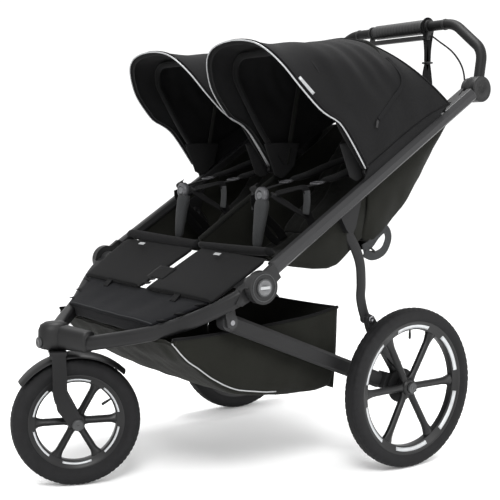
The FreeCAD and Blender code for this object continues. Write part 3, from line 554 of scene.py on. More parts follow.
def hoop_path(reach, lean, corner, half, middle, belly=0.0):
    """A square-shouldered hoop that stands on the bow's pivot, leaning forward by lean degrees."""
    a = math.radians(lean)
    out = np.array((0, -math.sin(a), math.cos(a)))
    flat = [(-half, 12), (-half, (reach - corner) * 0.5), (-half, reach - corner)]
    flat += [(-half + corner * (1 - math.cos(t)), reach - corner * (1 - math.sin(t)))
             for t in (0.4, 0.8, 1.2)]
    flat += [(-half + corner, reach), (0, reach)]
    flat += [(-x, r) for x, r in flat[::-1][1:]]
    ahead = np.array((0, -math.cos(a), -math.sin(a))) * belly
    foot = np.array((middle, BOW[1], BOW[2]))
    return curve_through([foot + (x, 0, 0) + out * r + ahead * math.sin(math.pi * r / reach)
                          for x, r in flat], 90)


def hood_foot(name, x):
    """Cloth pocket inside the hood that covers the feet of both ribs."""
    top = curve_through([(x, -212, 815), (x, -160, 818), (x, -96, 818)], 20)
    foot = curve_through([(x, -178, 735), (x, -150, 727), (x, -112, 758)], 20)
    rows = []
    for k in steps(18):
        row = top + (foot - top) * k
        row[:, 0] += 5 * math.sin(math.pi * k) * np.sin(np.linspace(0, math.pi, 20)) * (-1 if x > 0 else 1)
        rows.append(row)
    return sheet(name, np.array(rows), 2.0, POCKET_CLOTH)


def hood(side, sign):
    """One hood: cloth shell, reflective piping, hems, the vent band, tags, ribs and skirts."""
    grid = hood_grid(2 + sign)
    normals = grid_normals(grid)
    shift = np.array([sign * BOW[0], 0, 0])
    bow = "canopy_bow_" + side
    pieces = [sheet("hood_cloth_" + side, grid + shift, 2.4, HOOD_CLOTH, HOOD_LINING),
              sweep("hood_piping_" + side, grid[0] + shift + normals[0] * 0.4, ring_profile(1.9, 8),
                    PIPING, (0, 1, 0.3)),
              sweep("hood_front_hem_" + side, grid[1] + shift - normals[1] * 2.5,
                    strap_profile(14, 2.4), HOOD_CLOTH, (0, 1, 0.6))]
    ends = {"outer": 0, "inner": -1} if sign > 0 else {"outer": -1, "inner": 0}
    for name, column in ends.items():
        pieces.append(sweep("hood_lower_hem_%s_%s" % (name, side), grid[:, column] + shift,
                            ring_profile(2.6, 8), WEBBING, (1, 0, 0)))
    pieces.append(sweep("hood_rear_hem_" + side, grid[-1] + shift, ring_profile(3.0, 8), WEBBING,
                        (0, 1, 0)))

    def across(v):
        return v if sign > 0 else 1.0 - v

    for name, way in (("outer", 1), ("inner", -1)):
        side_up = (sign * way, 0.1, 0.35)
        path = [(u, across(1 - v if way < 0 else v)) for u, v in VENT]
        line = curve_through(on_hood(grid, normals, path, 1.2), 40) + shift
        pieces.append(sweep("hood_vent_%s_%s" % (name, side), line, strap_profile(11, 2.2), HOOD_LINING,
                            side_up))
        tab = [line[0] + step for step in ((0, -3, -1), (sign * way * 3, -7, -7),
                                           (sign * way * 3, -9, -20))]
        pieces.append(sweep("hood_vent_pull_%s_%s" % (name, side), curve_through(tab, 8),
                            strap_profile(7, 2.0), PLASTIC, side_up))
        rows = []
        for k in steps(8):
            low = grid[2:-2, ends[name]] + shift
            if name == "outer":
                foot = np.array([(sign * TUBE_MIDDLE, p[1], tube_z(p[1], 1.0)) for p in low])
            else:
                foot = low + (0, 0, -20)
            rows.append(low + (foot - low) * k)
        pieces.append(sheet("hood_skirt_%s_%s" % (name, side), np.array(rows), 1.6, HOOD_LINING))
        pieces.append(hood_foot("hood_foot_%s_%s" % (name, side), shift[0] + sign * way * 149))
    rows = []
    for k in steps(14):
        foot = np.stack([(grid[-1][:, 0]) * 0.95, 0 * grid[-1][:, 0] + 114, 0 * grid[-1][:, 0] + 897], 1)
        row = grid[-1] + (foot - grid[-1]) * k
        row[:, 1] -= 6 * math.sin(math.pi * k)
        rows.append(row + shift)
    pieces.append(sheet("hood_rear_panel_" + side, np.array(rows), 1.6, HOOD_LINING))
    tag = on_hood(grid, normals, [(0.045, across(0.235)), (0.04, across(0.285))], 1.5)
    pieces.append(sweep("hood_tag_" + side, curve_through(tag, 6) + shift, strap_profile(8, 1.2), PIPING,
                        (sign, -0.6, 0.3)))
    pieces.append(sweep("hood_rib_" + side, hoop_path(325, -11, 100, 158, shift[0]),
                        ring_profile(8, 12, 0.6), SEAT_CLOTH, (0, 1, 0.2)))
    for piece in pieces:
        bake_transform(piece)
    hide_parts("canopy_" + side)
    fit(sweep("bow_sleeve_" + side, hoop_path(340, 33.5, 78, BOW_HALF, shift[0], 13),
              ring_profile(8.5, 14, 0.75), HOOD_CLOTH, (0, 1, 0.6)), bow, bow)
    for label, way in (("outer", 1), ("inner", -1)):
        x = shift[0] + sign * way * BOW_HALF
        fit(turned("bow_hub_%s_%s" % (label, side),
                   [(-6, 0.3), (-6, 9), (-4, 11.5), (4, 11.5), (6, 9), (6, 0.3)],
                   36, lambda px, py, pz: (px + x, BOW[1] + py, BOW[2] + pz), PLASTIC), bow)


for side, sign in SIDES:
    hood(side, sign)


# ---------------------------------------------------------------- wheels
RIM_HALF = 15.5
SPOKES = 6
FIRST_SPOKE = math.radians(30)
REAR_TYRE = 203, 47  # radius, width
FRONT_TYRE = 154, 52


def place_wheel(obj, centre, yaw, mirror, body):
    """Move a wheel part built about the X axis to its axle."""
    turn = Matrix.Translation(Vector(centre) * MM) @ Matrix.Rotation(yaw, 4, "Z")
    if mirror:
        turn = turn @ Matrix.Rotation(math.pi, 4, "Z")
    obj.data.transform(turn)
    return fit(obj, body)


def tyre_section(radius, width):
    """Bead, sidewall, shoulder and crown of a tyre as (x, r), scaled by its half width."""
    w, r = width / 2, radius
    half = [(w * 0.62, r - w * 1.56), (w * 0.7, r - w * 1.42), (w * 0.84, r - w * 1.2),
            (w * 0.95, r - w * 0.98), (w, r - w * 0.74), (w * 0.985, r - w * 0.52),
            (w * 0.93, r - w * 0.36), (w * 0.86, r - w * 0.25), (w * 0.84, r - w * 0.2),
            (w * 0.74, r - w * 0.13), (w * 0.6, r - w * 0.07), (w * 0.56, r - w * 0.06),
            (w * 0.4, r - w * 0.025), (w * 0.36, r - w * 0.02), (w * 0.2, r), (w * 0.16, r), (0, r)]
    return [(-x, rr) for x, rr in half] + [(x, rr) for x, rr in half[::-1][1:]]


def tyre_mesh(name, radius, width):
    """Tyre with ribbed sidewalls, two running grooves and shoulder blocks."""
    w = width / 2
    pitch = 2 * math.pi / 72

    def tread(angle, x, r):
        side = abs(x) / w
        if r < radius - w * 0.3:
            ring = abs(r - (radius - w * 0.98))
            return 0.8 if ring < 0.4 and side > 0.9 else 0.0
        phase = (angle / pitch + 0.5 * (x > 0)) % 1.0
        groove = 1.3 if 0.33 < side < 0.44 else 0.0
        slot = 1.3 if side > 0.5 and phase < 0.22 else 0.0
        notch = 0.8 if side < 0.25 and abs(phase - 0.5) < 0.12 else 0.0
        return max(groove, slot, notch)

    points, faces = turn_profile(tyre_section(radius, width), 288, tread=tread)
    return make(name, points, faces, TYRE)


def rim_mesh(seat):
    """Points and faces of the rim, whose bead seat has this radius."""
    h = RIM_HALF
    section = [(-h - 1.5, seat + 3.5), (-h, seat + 5), (-h + 3, seat + 1), (h - 3, seat + 1),
               (h, seat + 5), (h + 1.5, seat + 3.5), (h + 0.5, seat - 2), (h - 1, seat - 4),
               (h - 5.5, seat - 15.5), (h - 6.5, seat - 18), (-h + 6.5, seat - 18),
               (-h + 5.5, seat - 15.5), (-h + 1, seat - 4), (-h - 0.5, seat - 2)]
    return turn_profile(section, 144)


def spoke_mesh(inner, outer, skew):
    """A roof-shaped spoke that flares into the rim. Stations run outwards."""
    points, faces, stations = [], [], []
    for i in range(15):
        t = i / 14
        r = inner + (outer - inner) * t
        flare = max(0.0, (t - 0.72) / 0.28) ** 2
        foot = max(0.0, (0.16 - t) / 0.16) ** 2
        stations.append((r, 8.2 + 0.6 * t + 10 * flare + 4 * foot, skew * (1 - t) ** 1.5, flare))
    for r, w, x, flare in stations:
        ridge, edge, back = 8.5 + x, 3.5 + x + 1.5 * flare, -8.5 + x
        points += [(edge - 2, -w, r), (edge, -w * 0.86, r), (ridge, -w * 0.12, r), (ridge, w * 0.12, r),
                   (edge, w * 0.86, r), (edge - 2, w, r), (back + 2, w, r), (back, w * 0.6, r),
                   (back, -w * 0.6, r), (back + 2, -w, r)]
    n = 10
    for i in range(len(stations) - 1):
        for j in range(n):
            faces.append((i * n + j, i * n + (j + 1) % n, (i + 1) * n + (j + 1) % n, (i + 1) * n + j))
    faces += [tuple(range(n - 1, -1, -1)), tuple(range((len(stations) - 1) * n, len(stations) * n))]
    return points, faces


def turned_about_x(points, angle):
    c, s = math.cos(angle), math.sin(angle)
    return [(x, y * c - z * s, y * s + z * c) for x, y, z in points]


def joined(parts):
    """Several point and face lists as one."""
    points, faces = [], []
    for p, f in parts:
        base = len(points)
        points += list(p)
        faces += [tuple(i + base for i in face) for face in f]
    return points, faces


def tape_arcs(seat, sides, trim):
    """Reflective tape on the rim's sloping face, between the spokes."""
    h = RIM_HALF
    parts = []
    for side in sides:
        for k in range(SPOKES):
            start = 2 * math.pi * (k + 0.17) / SPOKES
            end = 2 * math.pi * (k + 0.83) / SPOKES
            points, faces = [], []
            for i in range(17):
                a = start + (end - start) * i / 16
                for x, r in ((h - 1.2 - trim * 0.41, seat - 5 - trim), (h - 4.9, seat - 14),
                             (h - 4.4, seat - 14.2), (h - 0.6 - trim * 0.41, seat - 5.2 - trim)):
                    points.append((side * x, -r * math.sin(a), r * math.cos(a)))
            for i in range(16):
                for j in range(4):
                    face = (i * 4 + j, i * 4 + (j + 1) % 4, i * 4 + 4 + (j + 1) % 4, i * 4 + 4 + j)
                    faces.append(face if side > 0 else face[::-1])
            faces += [(0, 1, 2, 3), (67, 66, 65, 64)]
            parts.append((points, faces))
    return joined(parts)


def wheel(label, body, centre, radius, width, yaw=0.0, mirror=False, skew=0.0, tape=(1,), valve=0.5,
          trim=0.0):
    """Tyre, spoked rim, reflective tape and valve. Skew shifts the hub, trim narrows the tape."""
    seat = radius - width * 0.78
    tyre = tyre_mesh("tyre_" + label, radius, width)
    place_wheel(tyre, centre, yaw, mirror, body)
    spokes = [rim_mesh(seat)]
    for k in range(SPOKES):
        points, faces = spoke_mesh(18, seat - 12, skew)
        spokes.append((turned_about_x(points, FIRST_SPOKE + 2 * math.pi * k / SPOKES), faces))
    hub = [(skew - 17, 12.5), (skew + 13, 12.5), (skew + 13, 17), (skew + 9, 21.5), (skew + 5, 23),
           (skew - 13, 24), (skew - 17, 22)]
    spokes.append(turn_profile(hub, 48))
    points, faces = joined(spokes)
    rim = make("rim_" + label, points, faces, RIM)
    modify(rim, "BEVEL", width=1.0 * MM, segments=2, limit_method="ANGLE", angle_limit=math.radians(32))
    apply_all(rim)
    place_wheel(rim, centre, yaw, mirror, body)
    points, faces = tape_arcs(seat, tape, trim)
    band = make("rim_tape_" + label, turned_about_x(points, FIRST_SPOKE), faces, RIM_TAPE)
    place_wheel(band, centre, yaw, mirror, body)
    angle = FIRST_SPOKE + math.pi / SPOKES * 2 * valve
    points, faces = turn_profile([(-26, 0.2), (-25.5, 2.2), (-23, 3.4), (-9, 3.4), (-8.6, 2.6), (4, 2.6),
                                  (4, 0.2)], 14)
    points = [(y, z, x + seat - 17) for x, y, z in points]
    place_wheel(make("valve_" + label, turned_about_x(points, angle), faces, RIM), centre, yaw, mirror,
                body)
    return tyre, rim


CAP_SECTION = [(9, 0.2), (15.5, 0.2), (15.5, 7), (14, 9.5), (11, 10.5), (9, 11)]

for side, sign in SIDES:
    body = "rear_wheel_" + side
    centre = middle_of("rear_tyre_" + side)
    tyre, rim = wheel("rear_" + side, body, centre, *REAR_TYRE, mirror=sign < 0, skew=-4.0, valve=-0.5)
    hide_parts("rear_tyre_" + side)
    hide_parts("rear_rim_" + side)
    points, faces = turn_profile(CAP_SECTION, 40)
    place_wheel(make("hub_cap_rear_" + side, points, faces, CAP), centre, 0.0, sign < 0, body)

FRONT_CENTRE = middle_of("front_tyre")
FRONT_YAW = math.radians(-21)
tyre, rim = wheel("front", "front_wheel", FRONT_CENTRE, *FRONT_TYRE, yaw=FRONT_YAW, tape=(1, -1),
                  valve=-1.5, trim=4.5)
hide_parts("front_tyre")
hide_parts("front_rim")


def in_front_wheel(points):
    """Points given about the wheel's own centre, turned with the caster."""
    c, s = math.cos(FRONT_YAW), math.sin(FRONT_YAW)
    return [np.array((x * c - y * s, x * s + y * c, z)) + FRONT_CENTRE for x, y, z in points]


def fender():
    """Crowned mudguard with rolled edges, from low at the front to the rear top."""
    rows = []
    for i in range(41):
        a = math.radians(143 - 98 * i / 40)
        end = 1 - 0.12 * max(0.0, (abs(i - 20) - 16) / 4) ** 2
        row = []
        for k in range(17):
            t = k / 8 - 1
            x = 33 * t * end
            r = 160.5 + 5.5 * math.cos(t * math.pi / 2) - 3.5 * max(0.0, abs(t) - 0.8) * 5
            row.append((x, r * math.cos(a), r * math.sin(a)))
        rows.append(in_front_wheel(row))
    guard = sheet("fender_guard", np.array(rows), 2.6, PLASTIC)
    modify(guard, "BEVEL", width=0.9 * MM, segments=2, limit_method="ANGLE", angle_limit=math.radians(50))
    apply_all(guard)
    fit(guard, "caster", "front_fender")


fender()


def fork_caps():
    """Axle covers at the foot of each fork leg."""
    for label, sign in (("left", 1), ("right", -1)):
        points, faces = turn_profile([(44, 0.2), (51, 0.2), (51, 9), (49.5, 12.5), (46, 14), (44, 14)], 36)
        points = [(x * sign, y * sign, z) for x, y, z in points]
        fit(make("fork_cap_" + label, in_front_wheel(points), faces, CAP), "caster")


fork_caps()


# ---------------------------------------------------------------- seats
def side_curve(points, count):
    """A smooth (y, z) line and its normals, which point up and forward."""
    line = curve_through([(0, y, z) for y, z in points], count)
    tangent = np.gradient(line, axis=0)
    tangent /= np.linalg.norm(tangent, axis=1)[:, None]
    normal = np.stack([np.zeros(count), -tangent[:, 2], tangent[:, 1]], 1)
    return line, normal


def cushion(name, x_low, x_high, points, front, back, material, seams=(), lean=None, corner=0.06, seed=1,
            soft=3.0, rows=64, cols=48):
    """A crowned pad along a side curve: front and back are its thicknesses, seams its stitched lines.

    A seam is ("down", place, width, depth) or ("across", place, width, depth), with places 0 to 1."""
    line, normal = side_curve(points, rows)
    middle, half = (x_low + x_high) / 2, (x_high - x_low) / 2
    s = np.linspace(-1, 1, cols)[None, :]
    t = np.linspace(-1, 1, rows)[:, None]
    fall = np.maximum(1 - np.abs(s) ** 9, 0) ** 0.5 * np.maximum(1 - np.abs(t) ** 12, 0) ** 0.5
    groove = np.zeros((rows, cols))
    for way, place, width, depth in seams:
        at = (s + 1) / 2 if way == "down" else (t + 1) / 2 + 0 * s
        groove = np.maximum(groove, depth * np.exp(-((at - place) / width) ** 2) + 0 * t)
    x = middle + half * s * (1 - corner * np.abs(t) ** 10)
    base = np.zeros((rows, cols, 3))
    base[..., 0] = x
    base[..., 1] = line[:, 1][:, None]
    base[..., 2] = line[:, 2][:, None]
    if lean is not None:
        across, along = lean((s + 1) / 2, (t + 1) / 2)
        base[..., 0] += across
        base[..., 1] += along
    uneven = ruffle(base.reshape(-1, 3), 45.0, soft, seed).reshape(rows, cols)
    top = base + normal[:, None, :] * ((front + uneven) * fall - groove * fall)[..., None]
    under = base - normal[:, None, :] * (back * fall)[..., None]
    points_list = np.vstack([top.reshape(-1, 3), under.reshape(-1, 3)])
    count = rows * cols
    faces = []
    for i in range(rows - 1):
        for j in range(cols - 1):
            a, b, c, d = i * cols + j, i * cols + j + 1, (i + 1) * cols + j + 1, (i + 1) * cols + j
            faces += [(a, b, c, d), (d + count, c + count, b + count, a + count)]
    rim = (list(range(cols)) + [i * cols + cols - 1 for i in range(1, rows)]
           + [(rows - 1) * cols + j for j in range(cols - 2, -1, -1)]
           + [i * cols for i in range(rows - 2, 0, -1)])
    for a, b in zip(rim, rim[1:] + rim[:1]):
        faces.append((b, a, a + count, b + count))
    obj = make(name, points_list, faces, material)
    modify(obj, "WELD", merge_threshold=0.05 * MM)
    return apply_all(obj)


def strap(name, points, width, thick, material, up=(0, 0, 1), count=40, body="seat_frame"):
    """A webbing strap through points."""
    return fit(sweep(name, curve_through(points, count), strap_profile(width, thick), material, up), body)


def block(name, centre, size, material, body, turn=(0, 0, 0), rounding=2.0):
    """A small moulded block with rounded edges."""
    x, y, z = (v / 2 for v in size)
    points = [(i * x, j * y, k * z) for i in (-1, 1) for j in (-1, 1) for k in (-1, 1)]
    faces = [(0, 1, 3, 2), (4, 6, 7, 5), (0, 4, 5, 1), (2, 3, 7, 6), (0, 2, 6, 4), (1, 5, 7, 3)]
    obj = make(name, points, faces, material)
    modify(obj, "BEVEL", width=rounding * MM, segments=3)
    apply_all(obj)
    place = Matrix.Translation(Vector(centre) * MM)
    for angle, axis in zip(turn, "XYZ"):
        place = place @ Matrix.Rotation(math.radians(angle), 4, axis)
    obj.data.transform(place)
    return fit(obj, body)


def loop_round(centre, across, along, half_wide, half_long, count=24):
    """Points of a rounded rectangular loop, for slides and rings."""
    points = []
    for i in range(count + 1):
        a = 2 * math.pi * i / count
        c, s = math.cos(a), math.sin(a)
        x = math.copysign(abs(c) ** 0.45, c) * half_wide
        y = math.copysign(abs(s) ** 0.45, s) * half_long
        points.append(np.array(centre) + np.array(across) * x + np.array(along) * y)
    return np.array(points)


PAN_SIDE = ((-396, 545), (-362, 540), (-310, 533), (-250, 528), (-200, 532), (-162, 548), (-122, 577))
CALF_SIDE = ((-410, 548), (-428, 541), (-548, 465), (-553, 461))
BACK_SIDE = ((-132, 578), (-90, 618), (-38, 662), (26, 752), (96, 840), (120, 872))
PANEL_ENDS = -398, -96
PANEL_FOOT = ((-398, -362, -326, -265, -217, -186, -150, -96), (556, 536, 529, 520, 518, 526, 556, 596))
WING_STEPS = (0, 0.08, 0.23, 0.44, 0.7, 0.93, 1)  # where the wing meets each point of REAR_SIDE
REAR_SIDE = ((-112, 584), (-76, 563), (-20, 618), (26, 659), (89, 739), (146, 824), (162, 856))


def calf_lean(s, t, sign):
    """The calf pads' top edge slants back towards the middle and is a little wider than the foot."""
    outer = s if sign > 0 else 1 - s
    return sign * 19 * outer * (1 - t), (24 - 26 * outer) * (1 - t)


def seat(side, sign):
    def span(a, b):
        return (a, b) if sign > 0 else (-b, -a)

    def at(x, y, z):
        return (x * sign, y, z)

    pan = cushion("seat_pan_" + side, *span(10, 305), PAN_SIDE, 14, 5, SEAT_CLOTH, seed=3 + sign,
                  seams=(("across", 0.32, 0.012, 5), ("down", 0.2, 0.012, 4), ("down", 0.8, 0.012, 4)))
    fit(pan, "seat_frame", "seat_base_" + side)

    back = cushion("seat_back_cushion_" + side, *span(14, 307), BACK_SIDE, 17, 8, SEAT_CLOTH,
                   seed=6 + sign, rows=72,
                   seams=(("down", 0.24, 0.014, 7), ("down", 0.76, 0.014, 7),
                          ("across", 0.4, 0.012, 4), ("across", 0.72, 0.012, 5)))
    fit(back, "seat_back_" + side, "seat_back_" + side)
    head = cushion("head_pad_" + side, *span(72, 250), ((40, 778), (70, 815), (100, 852)), 30, 2,
                   PAD_CLOTH, seams=(("down", 0.3, 0.02, 4), ("down", 0.7, 0.02, 4)), seed=8 + sign,
                   corner=0.2, rows=36)
    fit(head, "seat_back_" + side)
    cover_side = ((-132, 556), (-96, 556)) + REAR_SIDE[1:] + ((152, 870), (124, 874))
    rear = curve_through([(0, y, z) for y, z in cover_side], 48)
    rows = []
    for k, (_, y, z) in enumerate(rear):
        slack = 9 * math.sin(math.pi * k / 47)
        row = []
        for m in steps(30):
            slip = slack * math.sin(math.pi * m) ** 0.5
            row.append(at(308 - 295 * m, y + slip, z - slip))
        rows.append(row)
    rows = ruffled(rows, 1, 60.0, 4.0, 16 + sign)
    fit(sheet("seat_back_cover_" + side, rows, 2.0, SIDE_CLOTH), "seat_back_" + side)
    for label, column in (("inner", 24), ("outer", 5)):
        line = rows[2:-6, column] + (0, 2.5, -2)
        strap("back_tape_%s_%s" % (label, side), line, 20, 1.6, WEBBING, (0, 1, -1),
              body="seat_back_" + side)

    pad = cushion("calf_cushion_" + side, *span(14, 309), CALF_SIDE, 11, 2, PAD_CLOTH,
                  seams=(("across", 0.05, 0.02, 4), ("across", 0.93, 0.016, 3)),
                  lean=lambda s, t: calf_lean(s, t, sign), seed=10 + sign, soft=2.0, corner=0.05)
    fit(pad, "seat_frame", "calf_pad_" + side)
    roll = [at(8 + 318 * k, -386 - 20 * k, 556 + 10 * k * k) for k in steps(30)]
    fit(sweep("calf_roll_" + side, roll, [(x, y + 0.3 * x) for x, y in ring_profile(15, 20, 0.75)],
              PAD_CLOTH, scale=[0.6 + 0.4 * math.sin(math.pi * k) ** 0.3 for k in np.linspace(0.02, 0.98,
                                                                                              30)]),
        "seat_frame")
    x = 150 if sign > 0 else 195
    block("calf_tag_" + side, at(x, -441 + (6 if sign > 0 else -4), 548), (26, 9, 1.2), PIPING,
          "seat_frame",
          (32, 0, 0), 0.5)

    # crotch strap, buckle and its button
    middle = 180
    line = curve_through([at(middle, -338, 546), at(middle, -334, 590), at(middle, -327, 636),
                          at(middle - 2, -320, 676)], 30)
    scale = np.interp(steps(30), [0, 0.1, 0.16, 0.5, 0.9, 1], [0.42, 0.44, 0.66, 0.86, 1.04, 0.9])
    fit(sweep("crotch_pad_" + side, line, oval(29, 16, 24), STRAP_GREY, (-0.35, -1, 0.3), scale=scale),
        "seat_frame")
    centre = np.array(at(middle, -317, 688))

    def facing(x, y, z):
        return centre + (z, -x, y)

    shell = [(0, 11.5), (13, 11.5), (14.5, 13.5), (14, 18), (10.5, 21.5), (0, 22)]
    fit(turned("buckle_shell_" + side, shell, 44, facing, BUCKLE), "seat_frame",
        "harness_buckle_" + side)
    press = [(9, 0.2), (15, 0.2), (15.5, 6), (14.8, 9), (13.5, 10), (9, 10)]
    button = "buckle_button_" + side
    fit(turned("buckle_press_" + side, press, 36, facing, PLASTIC_GREY), button, button)
    for label, step in (("inner", -1), ("outer", 1)):
        x = middle + step * 31
        block("buckle_tongue_%s_%s" % (label, side), at(x, -310, 689), (22, 6, 14), PLASTIC, "seat_frame",
              turn=(0, 12 * step * sign, 0), rounding=2.5)
        # shoulder strap with its slide and pad, then the waist strap with its pad
        reach = middle + step * 62
        line = curve_through([at(x + step * 6, -310, 690), at(x + step * 22, -262, 704),
                              at(reach, -200, 716),
                              at(reach + step * 2, -150, 728)], 30)
        strap("harness_web_%s_%s" % (label, side), line, 23, 2.0, WEBBING, (0, -0.4, 1))
        slide = loop_round(at(reach, -199, 719), (1, 0, 0), (0, 0.98, 0.2), 16, 11)
        fit(sweep("harness_slide_%s_%s" % (label, side), slide, ring_profile(2.6, 8), BUCKLE,
                  (0, -0.2, 1)), "seat_frame")
        line = curve_through([at(reach + step * 1, -176, 724), at(reach + step, -120, 738),
                              at(middle + step * 58, -52, 762), at(middle + step * 50, 2, 778),
                              at(middle + step * 46, 28, 790)], 34)
        taper = np.interp(steps(34), [0, 0.08, 0.85, 1], [0.62, 1, 1, 0.5])
        pad = sweep("shoulder_pad_%s_%s" % (label, side), line,
                    oval(26, 6.5, 22), PAD_CLOTH, (0, -0.5, 1), scale=taper)
        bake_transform(pad)
        line = curve_through([at(x + step * 6, -317, 690), at(x + step * 40, -290, 664),
                              at(middle + step * 96, -240, 628), at(middle + step * 108, -190, 592),
                              at(middle + step * 110, -168, 566)], 36)
        strap("waist_web_%s_%s" % (label, side), line, 23, 2.0, WEBBING, (0.5 * step * sign, -0.2, 1))
    for label, x, lean in (("outer", 280, 1), ("inner", 72, -1)):
        line = curve_through([at(x, -263, 702), at(x + 3 * lean, -264, 676), at(x, -265, 646)], 16)
        fit(sweep("hip_pad_%s_%s" % (label, side), line, oval(12, 4.5, 18), STRAP_GREY, (0, -1, 0)),
            "seat_frame")
        tail = [at(x + lean, -262, 650), at(x + 4 * lean, -240, 610), at(x + 7 * lean, -205, 572),
                at(x + 8 * lean, -180, 556)]
        strap("hip_web_%s_%s" % (label, side), tail, 20, 1.8, WEBBING, (1, -0.6, 0.4))
        link = [at(middle + 34 * lean, -308, 694), at(x - 28 * lean, -292, 704),
                at(x - 8 * lean, -270, 710),
                at(x + lean, -262, 700)]
        strap("hip_link_%s_%s" % (label, side), link, 18, 1.8, WEBBING, (0, -0.7, 0.7))

    # outer side panel, hung from the main tube, and the wing that follows the back rest
    rows = []
    for y in np.linspace(*PANEL_ENDS, 40):
        top_z = tube_z(y, -14)
        low_z = np.interp(y, *PANEL_FOOT)
        swell = 9 * math.sin(math.pi * (y - PANEL_ENDS[0]) / (PANEL_ENDS[1] - PANEL_ENDS[0])) ** 0.6
        row = [at(337 - 27 * k + swell * math.sin(math.pi * k), y, top_z + (low_z - top_z) * k)
               for k in steps(26)]
        rows.append(row + [at(306, y, low_z - 3), at(296, y, low_z - 2), at(282, y, low_z + 2)])
    rows = ruffled(rows, 0, 60.0, 3.0, 12 + sign)
    panel = fit(sheet("side_panel_" + side, rows if sign > 0 else rows[:, ::-1], 2.0, SIDE_CLOTH),
                "seat_frame")
    if sign > 0:
        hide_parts("seat_sides")
    rows = []
    for k in steps(44):
        top_y = -120 + 282 * k
        top = np.array((337, top_y, tube_z(top_y, -13)))
        low = np.array((309, *[np.interp(k, WING_STEPS, places) for places in zip(*REAR_SIDE)]))
        row = []
        for m in steps(24):
            p = top + (low - top) * m
            row.append(at(*(p + (8 * math.sin(math.pi * m), 0, -7 * math.sin(math.pi * m) * k))))
        rows.append(row + [at(*(low + (-4, 3, -3))), at(*(low + (-14, 4, -4)))])
    rows = ruffled(rows, 0, 50.0, 3.5, 14 + sign)
    wing = sheet("side_wing_" + side, rows if sign > 0 else rows[:, ::-1], 2.0, SIDE_CLOTH)
    welt = sweep("wing_welt_" + side, rows[:, -3], ring_profile(2.2, 8), WEBBING, (1, 0, 0))
    for piece, slot in ((wing, "seat_cloth"), (welt, "webbing")):
        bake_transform(piece)
    hem = [at(337, y, tube_z(y, -12.5)) for y in np.linspace(PANEL_ENDS[0], -100, 30)]
    fit(sweep("side_hem_" + side, hem, ring_profile(3.4, 8), WEBBING, (1, 0, 0)), "seat_frame")

    # recline adjuster: a grey pull loop of webbing behind the strut, with its slide
    loop = [at(313, -104, 546), at(313, -74, 536), at(313, -38, 548), at(313, -22, 580), at(313, -34, 603),
            at(313, -60, 590), at(313, -84, 566), at(313, -108, 556)]
    strap("recline_loop_" + side, loop, 22, 2.2, STRAP_GREY, (1, 0, 0), 44)
    ring = loop_round(at(303, -76, 552), (1, 0, 0), (0, 0.8, -0.6), 12, 11)
    fit(sweep("recline_slide_" + side, ring, ring_profile(2.8, 8), PLASTIC, (0, 0.6, 0.8)), "seat_frame")


for side, sign in SIDES:
    seat(side, sign)


def divider():
    """Cloth wall between the seats, with a bound top edge."""
    top_edge = ((-386, -260, -131, -96, 26, 116), (571, 655, 735, 757, 838, 912))
    front_foot = ((-386, -330, -200, -150, -96), (545, 528, 520, 532, 572))
    rear_foot = ((-96, -38, 26, 96, 116), (552, 592, 682, 772, 802))
    rows = []
    for ends, count, foot, wave in (((-386, -96), 34, front_foot, 2.2), ((-86, 116), 22, rear_foot, 1.5)):
        for y in np.linspace(*ends, count):
            top_z, low_z = np.interp(y, *top_edge), np.interp(y, *foot)
            rows.append([(wave * math.sin(y / 23.0) * math.sin(math.pi * k), y, top_z + (low_z - top_z) * k)
                         for k in steps(22)])
    rows = np.array(rows)
    fit(sheet("seat_divider", rows, 2.4, SIDE_CLOTH), "seat_frame")
    fit(sweep("divider_binding", rows[:34, 0], ring_profile(6.5, 14), SEAT_CLOTH), "seat_frame")
    rows = [[(x, y, z - 1.5) for x in np.linspace(-40, 40, 9)] for y, z in
            zip(np.linspace(-482, -522, 10), np.linspace(507, 482, 10))]
    fit(sheet("calf_joint", np.array(rows), 2.0, PAD_CLOTH), "seat_frame")
    for label, y, z in (("upper", -529, 481), ("lower", -543, 472)):
        points = [(-16, y, z), (0, y - 2, z - 3), (16, y, z)]
        strap("calf_link_" + label, points, 8, 1.8, WEBBING, (0, -0.6, 0.8), 12)


divider()


